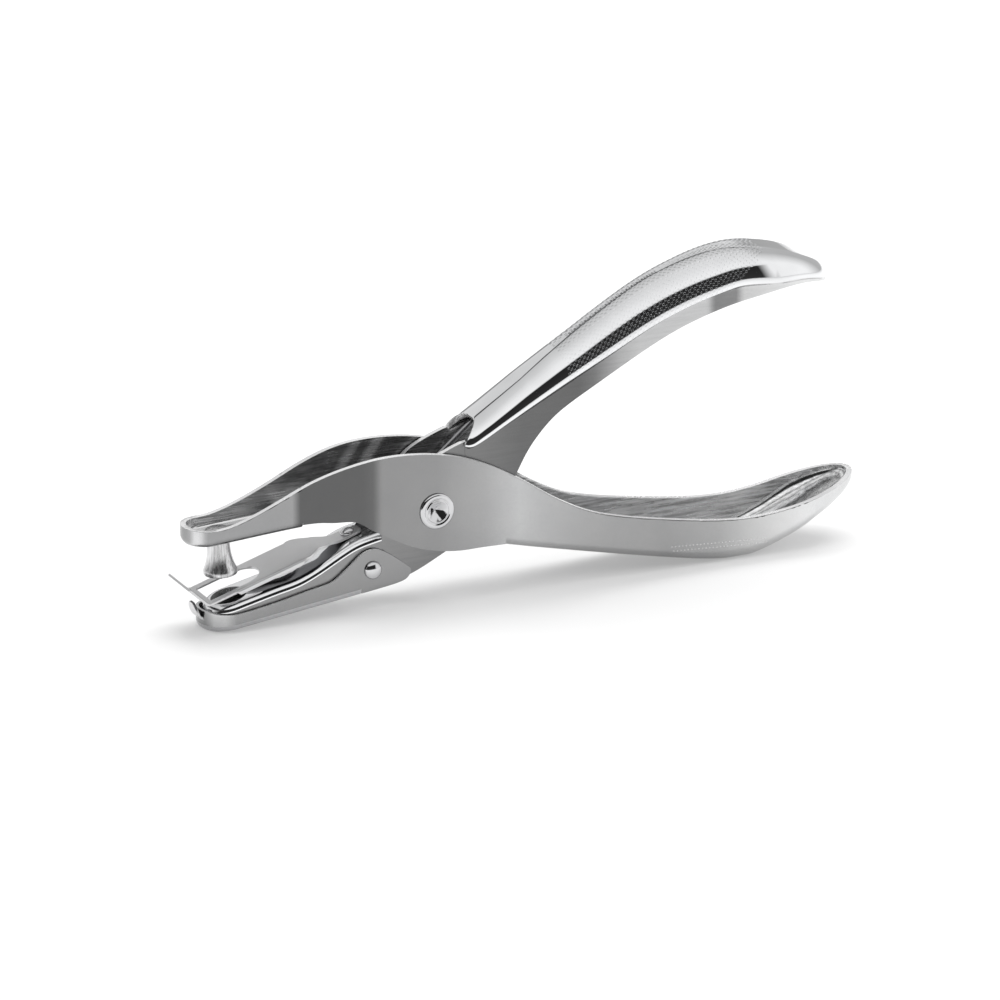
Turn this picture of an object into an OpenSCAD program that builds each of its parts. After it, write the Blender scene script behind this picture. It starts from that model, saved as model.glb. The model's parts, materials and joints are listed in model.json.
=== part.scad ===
// Single-hole hand punch: two stamped steel levers nested on one rivet, with a
// turned punch pin, a sprung stripper plate and a swing-down tray for the chads.
// The punch stands on its lower handle and its tray, jaws towards -X, +Z up.
// Lengths are in millimetres. Outlines are drawn from the pivot: x runs along
// the tool, z up. The last step of each module moves them to the part's origin.

/* [Levers] */
// Height of the pivot above the table
pivot_height = 17.35; // [17.2:0.05:18]
// Distance from the pivot to the tip of the upper jaw
jaw_reach = 46; // [45.6:0.1:46.6]
// Distance from the pivot to the tip of the lower handle
lower_reach = 83.2; // [80:0.2:88]
// Distance from the pivot to the tip of the upper handle, along X
upper_reach = 77.7; // [75:0.1:81]
// Thickness of the lever sheet
sheet = 1; // [0.8:0.05:1.1]
// Width of the upper jaw outside
jaw_width = 9.3; // [9.2:0.1:10]
// Width outside the cheeks of the outer lever
cheek_width = 11.7; // [11.7:0.1:12.6]
// Width of the lower handle at its broadest
lower_grip_width = 14.6; // [13:0.1:16]
// Width of the upper handle at its broadest
upper_grip_width = 14; // [13:0.1:16]
// Side clearance between the nested levers
nest_gap = 0.2; // [0.1:0.05:0.4]
// Bend radius outside along the bottom of the outer lever
outer_bend = 1.7; // [1.4:0.1:2]
// Bend radius outside along the die face
die_bend = 1.3; // [1.3:0.1:1.8]

/* [Pivot] */
// Diameter of the rivet shank
shank_d = 4.2; // [3.6:0.1:4.8]
// Diameter of the rivet heads
rivet_head_d = 6.5; // [6:0.1:8]
// Height of the rivet heads above the cheek
rivet_head_h = 0.6; // [0.4:0.05:0.9]
// Diameter of the dished centre of the rivet head
rivet_dish_d = 4.2; // [3:0.1:4.8]
// Radial clearance of a running or riveted joint
fit = 0.05; // [0.02:0.01:0.1]

/* [Punch] */
// Punch pin's centre behind the tip of the upper jaw
pin_setback = 6.8; // [5:0.2:9]
// Cutting diameter of the punch pin
pin_d = 6; // [5:0.1:6]
// Diameter of the waist of the punch pin
pin_waist_d = 4.1; // [3.6:0.1:4.4]
// Diameter of the pin where it is riveted into the jaw
pin_tenon_d = 3.2; // [2.6:0.1:3.4]
// Length of the punch pin below the jaw
pin_length = 6.5; // [6:0.1:6.8]
// Tilt of the pin and of the upper jaw's floor
jaw_tilt = 3.8; // [3:0.1:4.5]
// Closing angle at which the pin stands square in the die
close_angle = 9.2; // [8.8:0.1:9.6]
// Die hole's centre nearer to the pivot than the pin's, as the jaws stand open
die_offset = 1.9; // [1.5:0.1:2.2]
// Radial clearance between the pin and the die hole
die_gap = 0.25; // [0.2:0.05:0.35]

/* [Stripper] */
// Thickness of the stripper sheet
strip_sheet = 0.4; // [0.3:0.05:0.5]
// Width of the stripper plate
strip_width = 9.2; // [9:0.1:9.6]
// Width of the neck under the rivet
neck_width = 3.4; // [3:0.1:4]
// Length of the slot that the pin passes through
slot_length = 10.4; // [10:0.1:11]
// Width of that slot
slot_width = 6.7; // [6.5:0.1:7]
// Length of the turned-up paper guide lip
lip_length = 5; // [4:0.1:5.2]
// Depth of the folded side edges
strip_hem = 1; // [0.6:0.1:1.2]

/* [Tray] */
// Thickness of the tray sheet
tray_sheet = 0.5; // [0.4:0.05:0.6]
// Side clearance between the tray and the lower jaw
tray_gap = 0.15; // [0.1:0.05:0.25]
// Distance from the pivot back to the tray's hinge rivets
hinge_x = 12; // [11.8:0.1:12.3]
// Distance of the hinge rivets below the pivot
hinge_drop = 9.4; // [9.2:0.1:9.6]
// Diameter of the dome heads
dome_d = 3.3; // [2.8:0.1:3.6]
// Shank diameter of the hinge rivets
hinge_d = 2; // [1.6:0.1:2.2]
// Width of the thumb tab
tab_width = 3.2; // [2.6:0.1:4]

/* [Spring] */
// Wire diameter of the return spring
wire_d = 1.1; // [0.9:0.05:1.2]
// Turns of the coil
coil_turns = 4; // [3:1:5]

/* [Hidden] */

pin_reach = jaw_reach - pin_setback;
die_reach = pin_reach - die_offset;
$fn = 48;

chrome = [0.80, 0.81, 0.83];
bright = [0.88, 0.89, 0.90];
spring_steel = [0.62, 0.63, 0.66];

eps = 0.01;
over = 20;                // how far a cutting tool overshoots the metal

jaw_r = jaw_width / 2;
cheek_y = cheek_width / 2;
inner_y = cheek_y - sheet - nest_gap;      // outer face of the inner lever's cheeks
tray_y = inner_y + tray_gap + tray_sheet;  // outer face of the tray

// ---- smooth curves ------------------------------------------------------

// Slope of a curve through points [x, z] at its point i
function slope_at(p, i) =
    let (a = max(i - 1, 0), b = min(i + 1, len(p) - 1))
    (p[b][1] - p[a][1]) / (p[b][0] - p[a][0]);

// Height at x of a smooth curve through points [x, z], x rising
function curve(p, x, i = 0) =
    x <= p[0][0] ? p[0][1] :
    i >= len(p) - 1 ? p[len(p) - 1][1] :
    x > p[i + 1][0] ? curve(p, x, i + 1) :
    let (h = p[i + 1][0] - p[i][0], u = (x - p[i][0]) / h,
         u2 = u * u, u3 = u2 * u)
    (2 * u3 - 3 * u2 + 1) * p[i][1] + (u3 - 2 * u2 + u) * h * slope_at(p, i)
    + (3 * u2 - 2 * u3) * p[i + 1][1] + (u3 - u2) * h * slope_at(p, i + 1);

// Evenly spaced values from a to b
function spread(a, b, steps) = [for (k = [0:steps]) a + (b - a) * k / steps];

// ---- pressed channel: a sheet folded up from a plan outline ---------------
// A station is [x, y, nx, ny]: a point of the plan outline and its outward
// normal. A channel has a web (its floor or roof), two walls and a rim.

// Stations round the end of a channel: a quarter ellipse from its tip to its side
function end_stations(tip_x, mid_x, half, steps, first) =
    [for (k = [0:steps]) let (a = first + (90 - first) * k / steps,
                              l = tip_x - mid_x,
                              n = [cos(a) / l, sin(a) / half] * abs(l))
        concat([mid_x + l * cos(a), half * sin(a)], n / norm(n))];

// Stations along a side whose half width is a curve of x
function side_stations(width, xs) =
    [for (x = xs) let (s = (curve(width, x + eps) - curve(width, x - eps)) / (2 * eps),
                       n = [-s, 1] / norm([-s, 1]))
        [x, curve(width, x), n[0], n[1]]];

function reversed(v) = [for (k = [len(v) - 1:-1:0]) v[k]];

// One half of the cross-section at station s, d inside the outer skin, from the
// rim to the centre line. form holds functions of x: [rim, web, bend radius,
// belly, step, trimmed edge, lean]. Where the web is cut away the walls run
// straight to the trimmed edge.
function half_section(s, d, form, cut) =
    let (x = s[0] - d * s[2], y = s[1] - d * s[3], rim = form[0](x),
         web = cut ? form[5](x) : form[1](x),
         tilt = (form[1](x + eps) - form[1](x - eps)) / (2 * eps),
         side = sign(rim - web), height = abs(rim - web),
         step = cut ? 0.85 * height : form[4](x), belly = cut ? 0 : form[3](x),
         reach = y / max(s[3], eps) + d + belly,      // from the skin to the centre line
         bend = min(form[2](x), 0.9 * abs(height - step), 0.95 * reach),
         room = height - 1.1 * step,
         thick = cut ? 0 : min(d * min(sqrt(1 + tilt * tilt), 1.6), room - 0.4),
         r = cut ? 0 : min(max(bend - d, 0.15), room - thick - 0.15),
         foot = web + side * (thick + r),
         in = belly - r)
    [for (p = concat(
        [[0, rim], [0, rim - side * step * 0.9], [belly, rim - side * step * 1.1]],
        [for (k = [0:bend_steps]) let (a = 90 * k / bend_steps)
            [belly - r * (1 - cos(a)), foot - side * r * sin(a)]],
        [for (k = [1:floor_steps]) [in, web + side * thick]]))
        let (up = max(0, (abs(p[1] - rim) - step) / (height - step)))
        [x + p[0] * s[2] + (cut ? 0 : form[6](x) * up), y + p[0] * s[3], p[1]]];

bend_steps = 4;          // facets round a fold
floor_steps = 2;         // facets from a fold to the centre line
wall_end = 3;            // the column where a wall ends and its fold begins

// The whole cross-section, from one rim round to the other
function whole_section(s, d, form, cut) =
    let (h = half_section(s, d, form, cut), m = len(h), f = m - 1 - floor_steps,
         flat = [for (k = [0:m - 1]) k <= f ? h[k]
                                            : [h[k][0], h[k][1] * (m - 1 - k) / floor_steps, h[k][2]]])
    concat(flat, [for (k = [m - 2:-1:0]) [flat[k][0], -flat[k][1], flat[k][2]]]);

gap_step = 0.3;          // from the end of a web to the first station without one
jump = gap_step / 2;     // where the next web's shape takes over

function quad(a, b, c, d) = [[a, b, c], [a, c, d]];

// A channel along its stations. closed says for each end whether the walls close
// round it, window is the first and last station of the stretch with no web, and
// flip turns the faces over for a channel whose web is on top.
module channel(stations, form, thickness, closed, window, flip = false) {
    n = len(stations);
    function cut(i) = i > window[0] && i < window[1];
    function open(i) = i >= window[0] && i < window[1];
    outer = [for (i = [0:n - 1]) whole_section(stations[i], 0, form, cut(i))];
    inner = [for (i = [0:n - 1]) whole_section(stations[i], thickness, form, cut(i))];
    m = len(outer[0]);
    skin = n * m;
    foot = (m - 1) / 2 - floor_steps;       // where the fold meets the web
    far = m - 1 - wall_end;
    points = concat([for (row = outer) each row], [for (row = inner) each row]);
    // A strip of the cut edge at station i, from column j to the next
    function edge(i, j, front) =
        let (a = i * m + j, b = skin + a)
        front ? quad(a, b, b + 1, a + 1) : quad(a, a + 1, b + 1, b);
    // A strip of the cut edge along column j, from station i to the next
    function side_edge(i, j, under) =
        let (a = i * m + j, b = skin + a)
        under ? quad(a, b, b + m, a + m) : quad(a, a + m, b + m, b);
    walls = [for (i = [0:n - 2], j = [0:m - 2], side = [0, skin])
        let (a = side + i * m + j)
        if (!open(i) || j < wall_end || j >= far)
            each side == 0 ? quad(a, a + 1, a + m + 1, a + m)
                           : quad(a, a + m, a + m + 1, a + 1)];
    rims = [for (i = [0:n - 2]) each concat(side_edge(i, 0, false), side_edge(i, m - 1, true))];
    sides = [for (i = [0:n - 2]) if (open(i))
        each concat(side_edge(i, wall_end, true), side_edge(i, far, false))];
    lips = [for (e = [0, 1], j = [wall_end:far - 1])
        if (window[e] < n - 1) each edge(window[e], j, e == 1)];
    ends = [for (e = [0, 1])
        let (i = e * (n - 1) * m)
        each closed[e]
            ? concat(
                [for (j = [0:foot - 1], side = [0, skin])
                    let (a = side + i + j, b = side + i + m - 1 - j,
                         row = j < foot - 1 ? [b, b - 1, a + 1]
                                            : concat([b], [for (k = [b - 1:-1:a + 1]) k]),
                         front = (side == 0) == (e == 0))
                    for (k = [0:len(row) - 2])
                        front ? [a, row[k], row[k + 1]] : [a, row[k + 1], row[k]]],
                let (a = i, b = i + m - 1)
                e == 0 ? quad(a, skin + a, skin + b, b) : quad(a, b, skin + b, skin + a))
            : [for (j = [0:m - 2])
                if (window[1] < n - 1 || j < wall_end || j >= far)
                    each edge(e * (n - 1), j, e == 0)]];
    faces = concat(walls, rims, sides, lips, ends);
    polyhedron(points, flip ? [for (f = faces) reversed(f)] : faces, convexity = 6);
}

// An outline in the XZ plane, cut or built through the full width
module through(outline, width = 4 * over) {
    rotate([90, 0, 0]) translate([0, 0, -width / 2])
        linear_extrude(width) polygon(outline);
}

// A round bar along Y at [x, z]
module across(p, r, length) {
    translate([p[0], 0, p[1]]) rotate([90, 0, 0]) cylinder(r = r, h = length, center = true);
}

// ---- places that pieces share --------------------------------------------

lip_lean = 41;                                  // how far the lip leans forward
strip_slope = 17.4;                             // slope of the stripper plate
strip_front = [-die_reach - 5.7, -11.4];
lip_tip = strip_front + lip_length * [-cos(lip_lean), sin(lip_lean)];
origin_x = (-lip_tip[0] - lower_reach) / 2;     // the pivot, seen from the box's centre
strip_rivet = [-14.6, -3.7];
strip_shank_r = 0.75;
strip_dome_d = 2.6;
hinge_at = [-hinge_x, -hinge_drop];

module from_pivot() {
    translate([origin_x, 0, pivot_height]) children();
}

// ---- outer lever: upper jaw, cheeks and lower handle ----------------------

web_rear = -25;          // where the jaw's floor ends
hole_shift = 0.02;       // keeps the tenon's hole off the facets' shared centre line
grip_front = 13.4;       // where the handle's floor starts
grip_mid = lower_reach - 13;

outer_rim = [[-jaw_reach, 2], [-40, 1.9], [-35.3, 3.1], [-29.5, 5.4], [-22, 8.7],
             [-14.6, 10.7], [-7.5, 11.2], [0.6, 10.3], [8.3, 7.9], [16, 3.7],
             [23.8, -1.5], [31.5, -5.1], [46.5, -8.3], [58, -9.8], [66, -9.5],
             [74, -8], [lower_reach, -5.7]];
outer_width = [[-26, jaw_r], [-20, (jaw_r + cheek_y) / 2], [-14, cheek_y], [20, cheek_y],
               [31, 6.2], [44, 6.8], [grip_mid - 12, lower_grip_width / 2 - 0.1],
               [grip_mid, lower_grip_width / 2]];
jaw_floor_z = -1.1;
rest_x = 58.5;           // middle of the flat that the handle rests on
rest_length = 5;
grip_floor = [[grip_front, -8.6], [20.4, -10.3], [35.5, -13.6], [50.7, -16.6],
              [rest_x - rest_length / 2, -pivot_height]];
scoop_floor = [[rest_x + rest_length / 2, -pivot_height], [66.3, -15.9], [70.2, -14.4],
               [74.4, -12.4], [78.9, -9.9], [lower_reach, -7.6]];
cheek_edge = [[web_rear, 0], [-20, -0.3], [-15, -0.5], [-12.7, -1.8], [-6.9, -4.9],
              [-3.1, -6.6], [0.8, -7.7], [4.6, -8.3], [8.5, -8.4], [grip_front, -8.6]];

function jaw_floor(x) = jaw_floor_z + (x + pin_reach) * tan(jaw_tilt);
function outer_web(x) =
    x <= web_rear + jump ? jaw_floor(x) :
    x <= rest_x - rest_length / 2 ? curve(grip_floor, x) : curve(scoop_floor, x);

outer_form = [function (x) curve(outer_rim, x), function (x) outer_web(x),
              function (x) outer_bend + max(0, (x - 50) / 16), function (x) 0,
              function (x) 0.2 * abs(curve(outer_rim, x) - outer_web(x)),
              function (x) curve(cheek_edge, x), function (x) 0];

outer_jaw = concat(
    end_stations(-jaw_reach, -jaw_reach + jaw_r, jaw_r, 8, 4),
    side_stations(outer_width, spread(-jaw_reach + jaw_r + 2, web_rear, 6)));
outer_cheeks = side_stations(outer_width, spread(web_rear + gap_step, grip_front - gap_step, 20));
outer_grip = concat(
    side_stations(outer_width, spread(grip_front, rest_x - rest_length / 2, 13)),
    side_stations(outer_width, spread(rest_x + rest_length / 2, grip_mid - 1, 3)),
    reversed(end_stations(lower_reach, grip_mid, lower_grip_width / 2, 9, 5)));

module outer_lever() {
    window = [len(outer_jaw) - 1, len(outer_jaw) + len(outer_cheeks)];
    color(chrome) from_pivot() difference() {
        channel(concat(outer_jaw, outer_cheeks, outer_grip), outer_form, sheet,
                [true, true], window);
        across([0, 0], shank_d / 2 + fit, 4 * over);
        pin_axis() translate([0, hole_shift, 0])
            cylinder(r = pin_tenon_d / 2 + fit, h = 5 * sheet, center = true);
    }
}

// ---- punch pin ------------------------------------------------------------

// Places a piece on the pin's axis, with z = 0 at the underside of the jaw
module pin_axis() {
    translate([-pin_reach, 0, jaw_floor_z]) rotate([0, -jaw_tilt, 0]) children();
}

module punch_pin() {
    land = 0.7;            // straight length behind the cutting edge
    flare = 4.2;           // length of the flare behind that
    hollow = 0.5;          // depth of the hollow ground end
    head_r = pin_tenon_d / 2 + 0.8;
    step = (pin_d - pin_waist_d) / 2;
    color(bright) from_pivot() pin_axis() rotate_extrude() polygon(concat(
        [[0, sheet + 0.9], [head_r - 0.5, sheet + 0.8], [head_r, sheet + 0.4],
         [head_r, sheet + fit], [pin_tenon_d / 2, sheet + fit], [pin_tenon_d / 2, -fit],
         [pin_waist_d / 2, -fit]],
        [for (k = [0:4]) let (u = k / 4) [pin_waist_d / 2 + step * u * u,
                                          -pin_length + land + flare * (1 - u)]],
        [[pin_d / 2, -pin_length], [pin_d / 2 - 0.3, -pin_length],
         [0, -pin_length + hollow]]));
}

// ---- inner lever: lower jaw, cheeks and upper handle ----------------------

die_rear = -10;          // where the die face ends
roof_front = 6;          // where the handle's roof starts, at its lowest
cheek_rear = -8;         // where the lower jaw's walls leave the tray
nose_r = inner_y;
nose_x = -die_reach;     // centre of the lower jaw's round nose
tip_mid = upper_reach - 11.7;

// Underside of the tray; the lower jaw's walls end just above it
swing_gap = 0.5;         // room in front of the jaw for the tray to swing down
tray_tip = nose_x - tray_y - swing_gap;
tray_front = -die_reach - 3.9;
tray_slope = 7.3;
function tray_floor(x) = -pivot_height + max(0, x - tray_front) * tan(tray_slope);
function jaw_edge(x) = tray_floor(x) + tray_sheet + 0.4;

die_top = [[nose_x - nose_r, -13.2], [nose_x, -12.05], [-30, -10.35], [-25.6, -9.4],
           [-21.8, -7.8], [-18, -5.8], [strip_rivet[0], strip_rivet[1] - strip_sheet - 0.1],
           [die_rear, -3.2]];
roof_top = [[4, 11.4], [9, 14.5], [24.5, 24.7], [39.9, 33.95], [49.2, 37.7],
            [58.5, 39.45], [67.8, 38], [74, 35.5], [upper_reach, 33.3]];
inner_edge = [[cheek_rear, jaw_edge(cheek_rear)], [-4.2, -11.4], [2.1, -8.4], [8, -5.2],
              [12, -2], [14.8, 2], [17.8, 7.7], [20.9, 11.6], [23.9, 14.3], [30.1, 17.9],
              [45.6, 25.9], [58, 30], [66, 32.1], [72, 32.3], [upper_reach, 30.8]];
roof_step = [[4, 8], [8.5, 10.1], [12.7, 12.5], [20.4, 16.9], [32, 23], [45, 29.4],
             [58, 33.2], [66, 33.2], [72, 32.9], [upper_reach, 31.2]];
inner_width = [[50, inner_y], [58, inner_y + 0.4], [66, upper_grip_width / 2]];
roof_belly = [[6, 0.15], [10, 0.5], [20, 0.9], [35, 1.3], [48, 1.8], [56, 1.9], [66, 0]];
cheek_top = [[die_rear, -3.4], [-7.4, 0.5], [-5, 4.2], [-2.7, 7.2], [-0.4, 9.1],
             [3.4, 11.2], [roof_front, 12.3]];
arch_lean = 3;           // how far the arch at the roof's front leans back
arch_fade = 12;          // length over which the lean dies out

function inner_rim(x) = x < cheek_rear ? jaw_edge(x) : curve(inner_edge, x);
function in_grip(x) = x > roof_front - jump;
function roof_lean(x) = in_grip(x) ? arch_lean * max(0, 1 - (x - roof_front) / arch_fade) : 0;
function inner_web(x) = in_grip(x) ? curve(roof_top, x + roof_lean(x)) : curve(die_top, x);

inner_form = [function (x) inner_rim(x), function (x) inner_web(x),
              function (x) in_grip(x) ? 5.4 : die_bend,
              function (x) in_grip(x) ? curve(roof_belly, x) : 0,
              function (x) in_grip(x) ? curve(roof_step, x) - inner_rim(x)
                                      : 0.4 * abs(inner_web(x) - inner_rim(x)),
              function (x) curve(cheek_top, x), function (x) roof_lean(x)];

inner_jaw = concat(
    end_stations(nose_x - nose_r, nose_x, nose_r, 8, 4),
    side_stations(inner_width, spread(nose_x + 2, die_rear, 12)));
inner_cheeks = side_stations(inner_width, spread(die_rear + gap_step, roof_front - gap_step, 9));
inner_grip = concat(
    side_stations(inner_width, spread(roof_front, tip_mid - 1, 24)),
    reversed(end_stations(upper_reach, tip_mid, upper_grip_width / 2, 8, 5)));

module inner_lever() {
    window = [len(inner_jaw) - 1, len(inner_jaw) + len(inner_cheeks)];
    color(chrome) from_pivot() difference() {
        channel(concat(inner_jaw, inner_cheeks, inner_grip), inner_form, sheet,
                [true, true], window, flip = true);
        across([0, 0], shank_d / 2 + fit, 4 * over);
        across(hinge_at, hinge_d / 2 + fit, 4 * over);
        die_axis() cylinder(r = pin_d / 2 + die_gap, h = 4 * sheet, center = true);
        strip_axis() cylinder(r = strip_shank_r + fit, h = 6, center = true);
    }
}

// Places a piece on the die hole's axis, square to the closed punch pin
module die_axis() {
    translate([-die_reach, 0, curve(die_top, -die_reach)])
        rotate([0, -jaw_tilt - close_angle, 0]) children();
}

// ---- pivot rivet ----------------------------------------------------------

module pivot_rivet() {
    head_r = rivet_head_d / 2;
    dish_r = rivet_dish_d / 2;
    seat = cheek_y + fit;
    top = seat + rivet_head_h;
    color(bright) from_pivot() rotate([90, 0, 0]) rotate_extrude() polygon([
        [0, top - 1.1], [dish_r - 0.45, top - 0.15], [dish_r - 0.15, top],
        [dish_r + 0.15, top - 0.25], [dish_r + 0.45, top - 0.05],
        [head_r - 0.25, top - 0.1], [head_r, top - 0.3], [head_r, seat],
        [shank_d / 2, seat], [shank_d / 2, -seat], [head_r, -seat],
        [head_r, -top + 0.3], [head_r - 0.6, -top + 0.05], [0, -top]]);
}

// ---- return spring --------------------------------------------------------

coil_r = shank_d / 2 + 0.25 + wire_d / 2;
coil_pitch = wire_d + 0.12;
coil_half = coil_turns * coil_pitch / 2;
leg_gap = 0.15;          // between a leg's end and the web that it bears on

lower_leg_x = 16;        // how far a leg reaches behind the pivot
upper_leg_x = 12.5;
roof_lag = 2.7;          // the roof leans back, so its skin over a leg comes from before it

// Centre of a leg's end, lying on the lower handle's floor or under the upper roof
lower_end = [lower_leg_x, outer_web(lower_leg_x) + 1.04 * sheet + wire_d / 2 + leg_gap];
upper_end = [upper_leg_x, inner_web(upper_leg_x - roof_lag) - 1.25 * sheet - 0.62 * wire_d
                          - leg_gap];

// Direction of the straight leg that leaves the coil and ends at p
function leg_angle(p, turn) = atan2(p[1], p[0]) + turn * asin(coil_r / norm(p));
lower_leg = leg_angle(lower_end, 1);
upper_leg = leg_angle(upper_end, -1);

// Path of the wire: the lower leg's end, the coil, the upper leg's end
function spring_path() =
    let (start = lower_leg - 90, stop = upper_leg + 90 - 360 * (coil_turns + 1),
         steps = 14 * coil_turns)
    concat(
        [[lower_end[0], -coil_half, lower_end[1]]],
        [for (k = [0:steps])
            let (a = start + (stop - start) * k / steps)
            [coil_r * cos(a), -coil_half + 2 * coil_half * k / steps, coil_r * sin(a)]],
        [[upper_end[0], coil_half, upper_end[1]]]);

// A round bar swept along a path that never runs along Y
module wire(path, r, sides) {
    n = len(path);
    rings = [for (i = [0:n - 1])
        let (t = path[min(i + 1, n - 1)] - path[max(i - 1, 0)],
             u = cross(t, [0, 1, 0]) / norm(cross(t, [0, 1, 0])),
             v = cross(u, t) / norm(cross(u, t)))
        for (k = [0:sides - 1])
            path[i] + r * (cos(360 * k / sides) * u + sin(360 * k / sides) * v)];
    skin = [for (i = [0:n - 2], k = [0:sides - 1])
        let (a = i * sides + k, b = i * sides + (k + 1) % sides)
        each quad(a, b, b + sides, a + sides)];
    polyhedron(rings, concat([[for (k = [sides - 1:-1:0]) k]], skin,
                             [[for (k = [0:sides - 1]) (n - 1) * sides + k]]));
}

module torsion_spring() {
    color(spring_steel) from_pivot() wire(spring_path(), wire_d / 2, 8);
}

// ---- stripper plate -------------------------------------------------------

plate_rear = -21.5;                     // where the plate turns down into its neck
neck_front = strip_rivet[0] - 2.4;      // where the neck lies down on the die web
neck_end = strip_rivet[0] + 2.2;
seat_slope = (curve(die_top, strip_rivet[0] + eps) - curve(die_top, strip_rivet[0] - eps))
             / (2 * eps);
function neck_z(x) = strip_rivet[1] + (x - strip_rivet[0]) * seat_slope;

// Places a piece on the stripper's rivet, square to the neck
module strip_axis() {
    translate([strip_rivet[0], 0, strip_rivet[1]]) rotate([0, -atan(seat_slope), 0]) children();
}

// Upper face of the stripper from the lip back along the plate
function strip_line() =
    let (rear = [plate_rear, strip_front[1] + (plate_rear - strip_front[0]) * tan(strip_slope)])
    [lip_tip, strip_front + 0.7 * [-cos(lip_lean), sin(lip_lean)], strip_front + [0.5, 0],
     rear, [neck_front, neck_z(neck_front)], [neck_end, neck_z(neck_end)]];

function lowered(line, t) = [for (p = reversed(line)) [p[0], p[1] - t]];

module stripper_profile(t) {
    line = strip_line();
    through(concat(line, lowered(line, t)));
}

module stripper_plan() {
    half = strip_width / 2;
    neck = neck_width / 2;
    slot_r = slot_width / 2;
    slot_front = strip_front[0] + 0.9;
    difference() {
        polygon([[lip_tip[0] - 1, half], [-24, half], [-20.5, neck + 0.9], [neck_front - 1, neck],
                 [neck_end, neck], [neck_end, -neck], [neck_front - 1, -neck],
                 [-20.5, -neck - 0.9], [-24, -half], [lip_tip[0] - 1, -half]]);
        translate([slot_front, -slot_r]) square([slot_length - slot_r, slot_width]);
        translate([slot_front + slot_length - slot_r, 0]) circle(slot_r);
    }
}

module stripper_plate() {
    hem_y = strip_width / 2 - strip_sheet / 2;
    color(bright) from_pivot() difference() {
        union() {
            intersection() {
                stripper_profile(strip_sheet);
                translate([0, 0, -over]) linear_extrude(2 * over) stripper_plan();
            }
            for (side = [-1, 1])
                intersection() {
                    stripper_profile(strip_sheet + strip_hem);
                    translate([-31, side * hem_y, 0])
                        cube([13, strip_sheet, 2 * over], center = true);
                }
        }
        strip_axis() cylinder(r = strip_shank_r + fit, h = 6, center = true);
    }
}

// ---- dome rivets ----------------------------------------------------------

// A rivet along +Z: dome from z = 0 up, shank down through grip, upset foot
module dome_rivet(head_d, shank_r, grip) {
    dome_h = head_d * 0.3;
    rotate_extrude() polygon(concat(
        [for (k = [0:6]) [head_d / 2 * sin(15 * k), dome_h * cos(15 * k)]],
        [[head_d / 2, 0], [shank_r, 0], [shank_r, -grip], [shank_r + 0.5, -grip],
         [shank_r + 0.35, -grip - 0.45], [0, -grip - 0.55]]));
}

module stripper_rivet() {
    color(bright) from_pivot() strip_axis() translate([0, 0, fit])
        dome_rivet(strip_dome_d, strip_shank_r, strip_sheet + sheet + 0.3);
}

module tray_rivets() {
    grip = tray_y - inner_y + sheet + 2 * fit;
    color(bright) from_pivot() for (side = [-1, 1])
        translate([hinge_at[0], side * (tray_y + fit), hinge_at[1]])
            rotate([-90 * side, 0, 0]) dome_rivet(dome_d, hinge_d / 2, grip);
}

// ---- chad tray ------------------------------------------------------------

tray_rear = -14.2;       // where the tray's floor ends
lobe_end = -4.7;         // where its side lobes end
tray_top = [[tray_tip, -13.6], [-40, -13.95], [-36.2, -13.75], [-29.5, -12.65], [-24.8, -11.65],
            [-20.4, -10.8], [-19.2, -10.3], [-16.5, -8.2], [-14.2, -6.3], [-12.6, -5.65],
            [-11, -5.75], [-8.6, -7.1], [-5.6, -9.4], [lobe_end, -10.2]];
lobe_edge = [[tray_rear, -13.9], [-10.4, -13.1], [-6.8, -12.4], [-5.3, -11.7], [lobe_end, -10.9]];
tray_width = [[-30, tray_y], [0, tray_y]];

// Side view of the front tab, from the tray's tip
tray_tab = [[0.7, -14.8], [-0.4, -13.6], [-1, -12.3], [-0.55, -12.1], [0, -13.3], [0.7, -14.2]];

tray_form = [function (x) curve(tray_top, x), function (x) tray_floor(x), function (x) 1.2,
             function (x) 0, function (x) 0.3 * abs(curve(tray_top, x) - tray_floor(x)),
             function (x) curve(lobe_edge, x), function (x) 0];

tray_body = concat(
    end_stations(tray_tip, nose_x, tray_y, 8, 4),
    side_stations(tray_width, spread(nose_x + 2, tray_rear, 9)));
tray_lobes = side_stations(tray_width, spread(tray_rear + gap_step, lobe_end, 7));

module chad_tray() {
    color(chrome) from_pivot() {
        difference() {
            channel(concat(tray_body, tray_lobes), tray_form, tray_sheet, [true, false],
                    [len(tray_body) - 1, len(tray_body) + len(tray_lobes) - 1]);
            across(hinge_at, hinge_d / 2 + fit, 4 * over);
        }
        intersection() {
            translate([tray_tip, 0, 0]) through(tray_tab);
            translate([tray_tip + 0.1, 0, -13.4]) rotate([0, 60, 0])
                cylinder(d = tab_width, h = 8, center = true);
        }
    }
}

outer_lever();
inner_lever();
pivot_rivet();
torsion_spring();
punch_pin();
stripper_plate();
stripper_rivet();
chad_tray();
tray_rivets();
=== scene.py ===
"""A chromed single-hole hand punch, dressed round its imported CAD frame.

Lengths are written in millimetres from the pivot, x along the tool, y across it
and z up, and become metres in the part's own frame when a mesh is made.
"""

import json
import logging
import math
from dataclasses import dataclass, field
from enum import Enum
from typing import Callable, ClassVar, Sequence

import bmesh
import bpy
import numpy as np
from mathutils import Matrix, Vector
from mathutils.bvhtree import BVHTree

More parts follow.
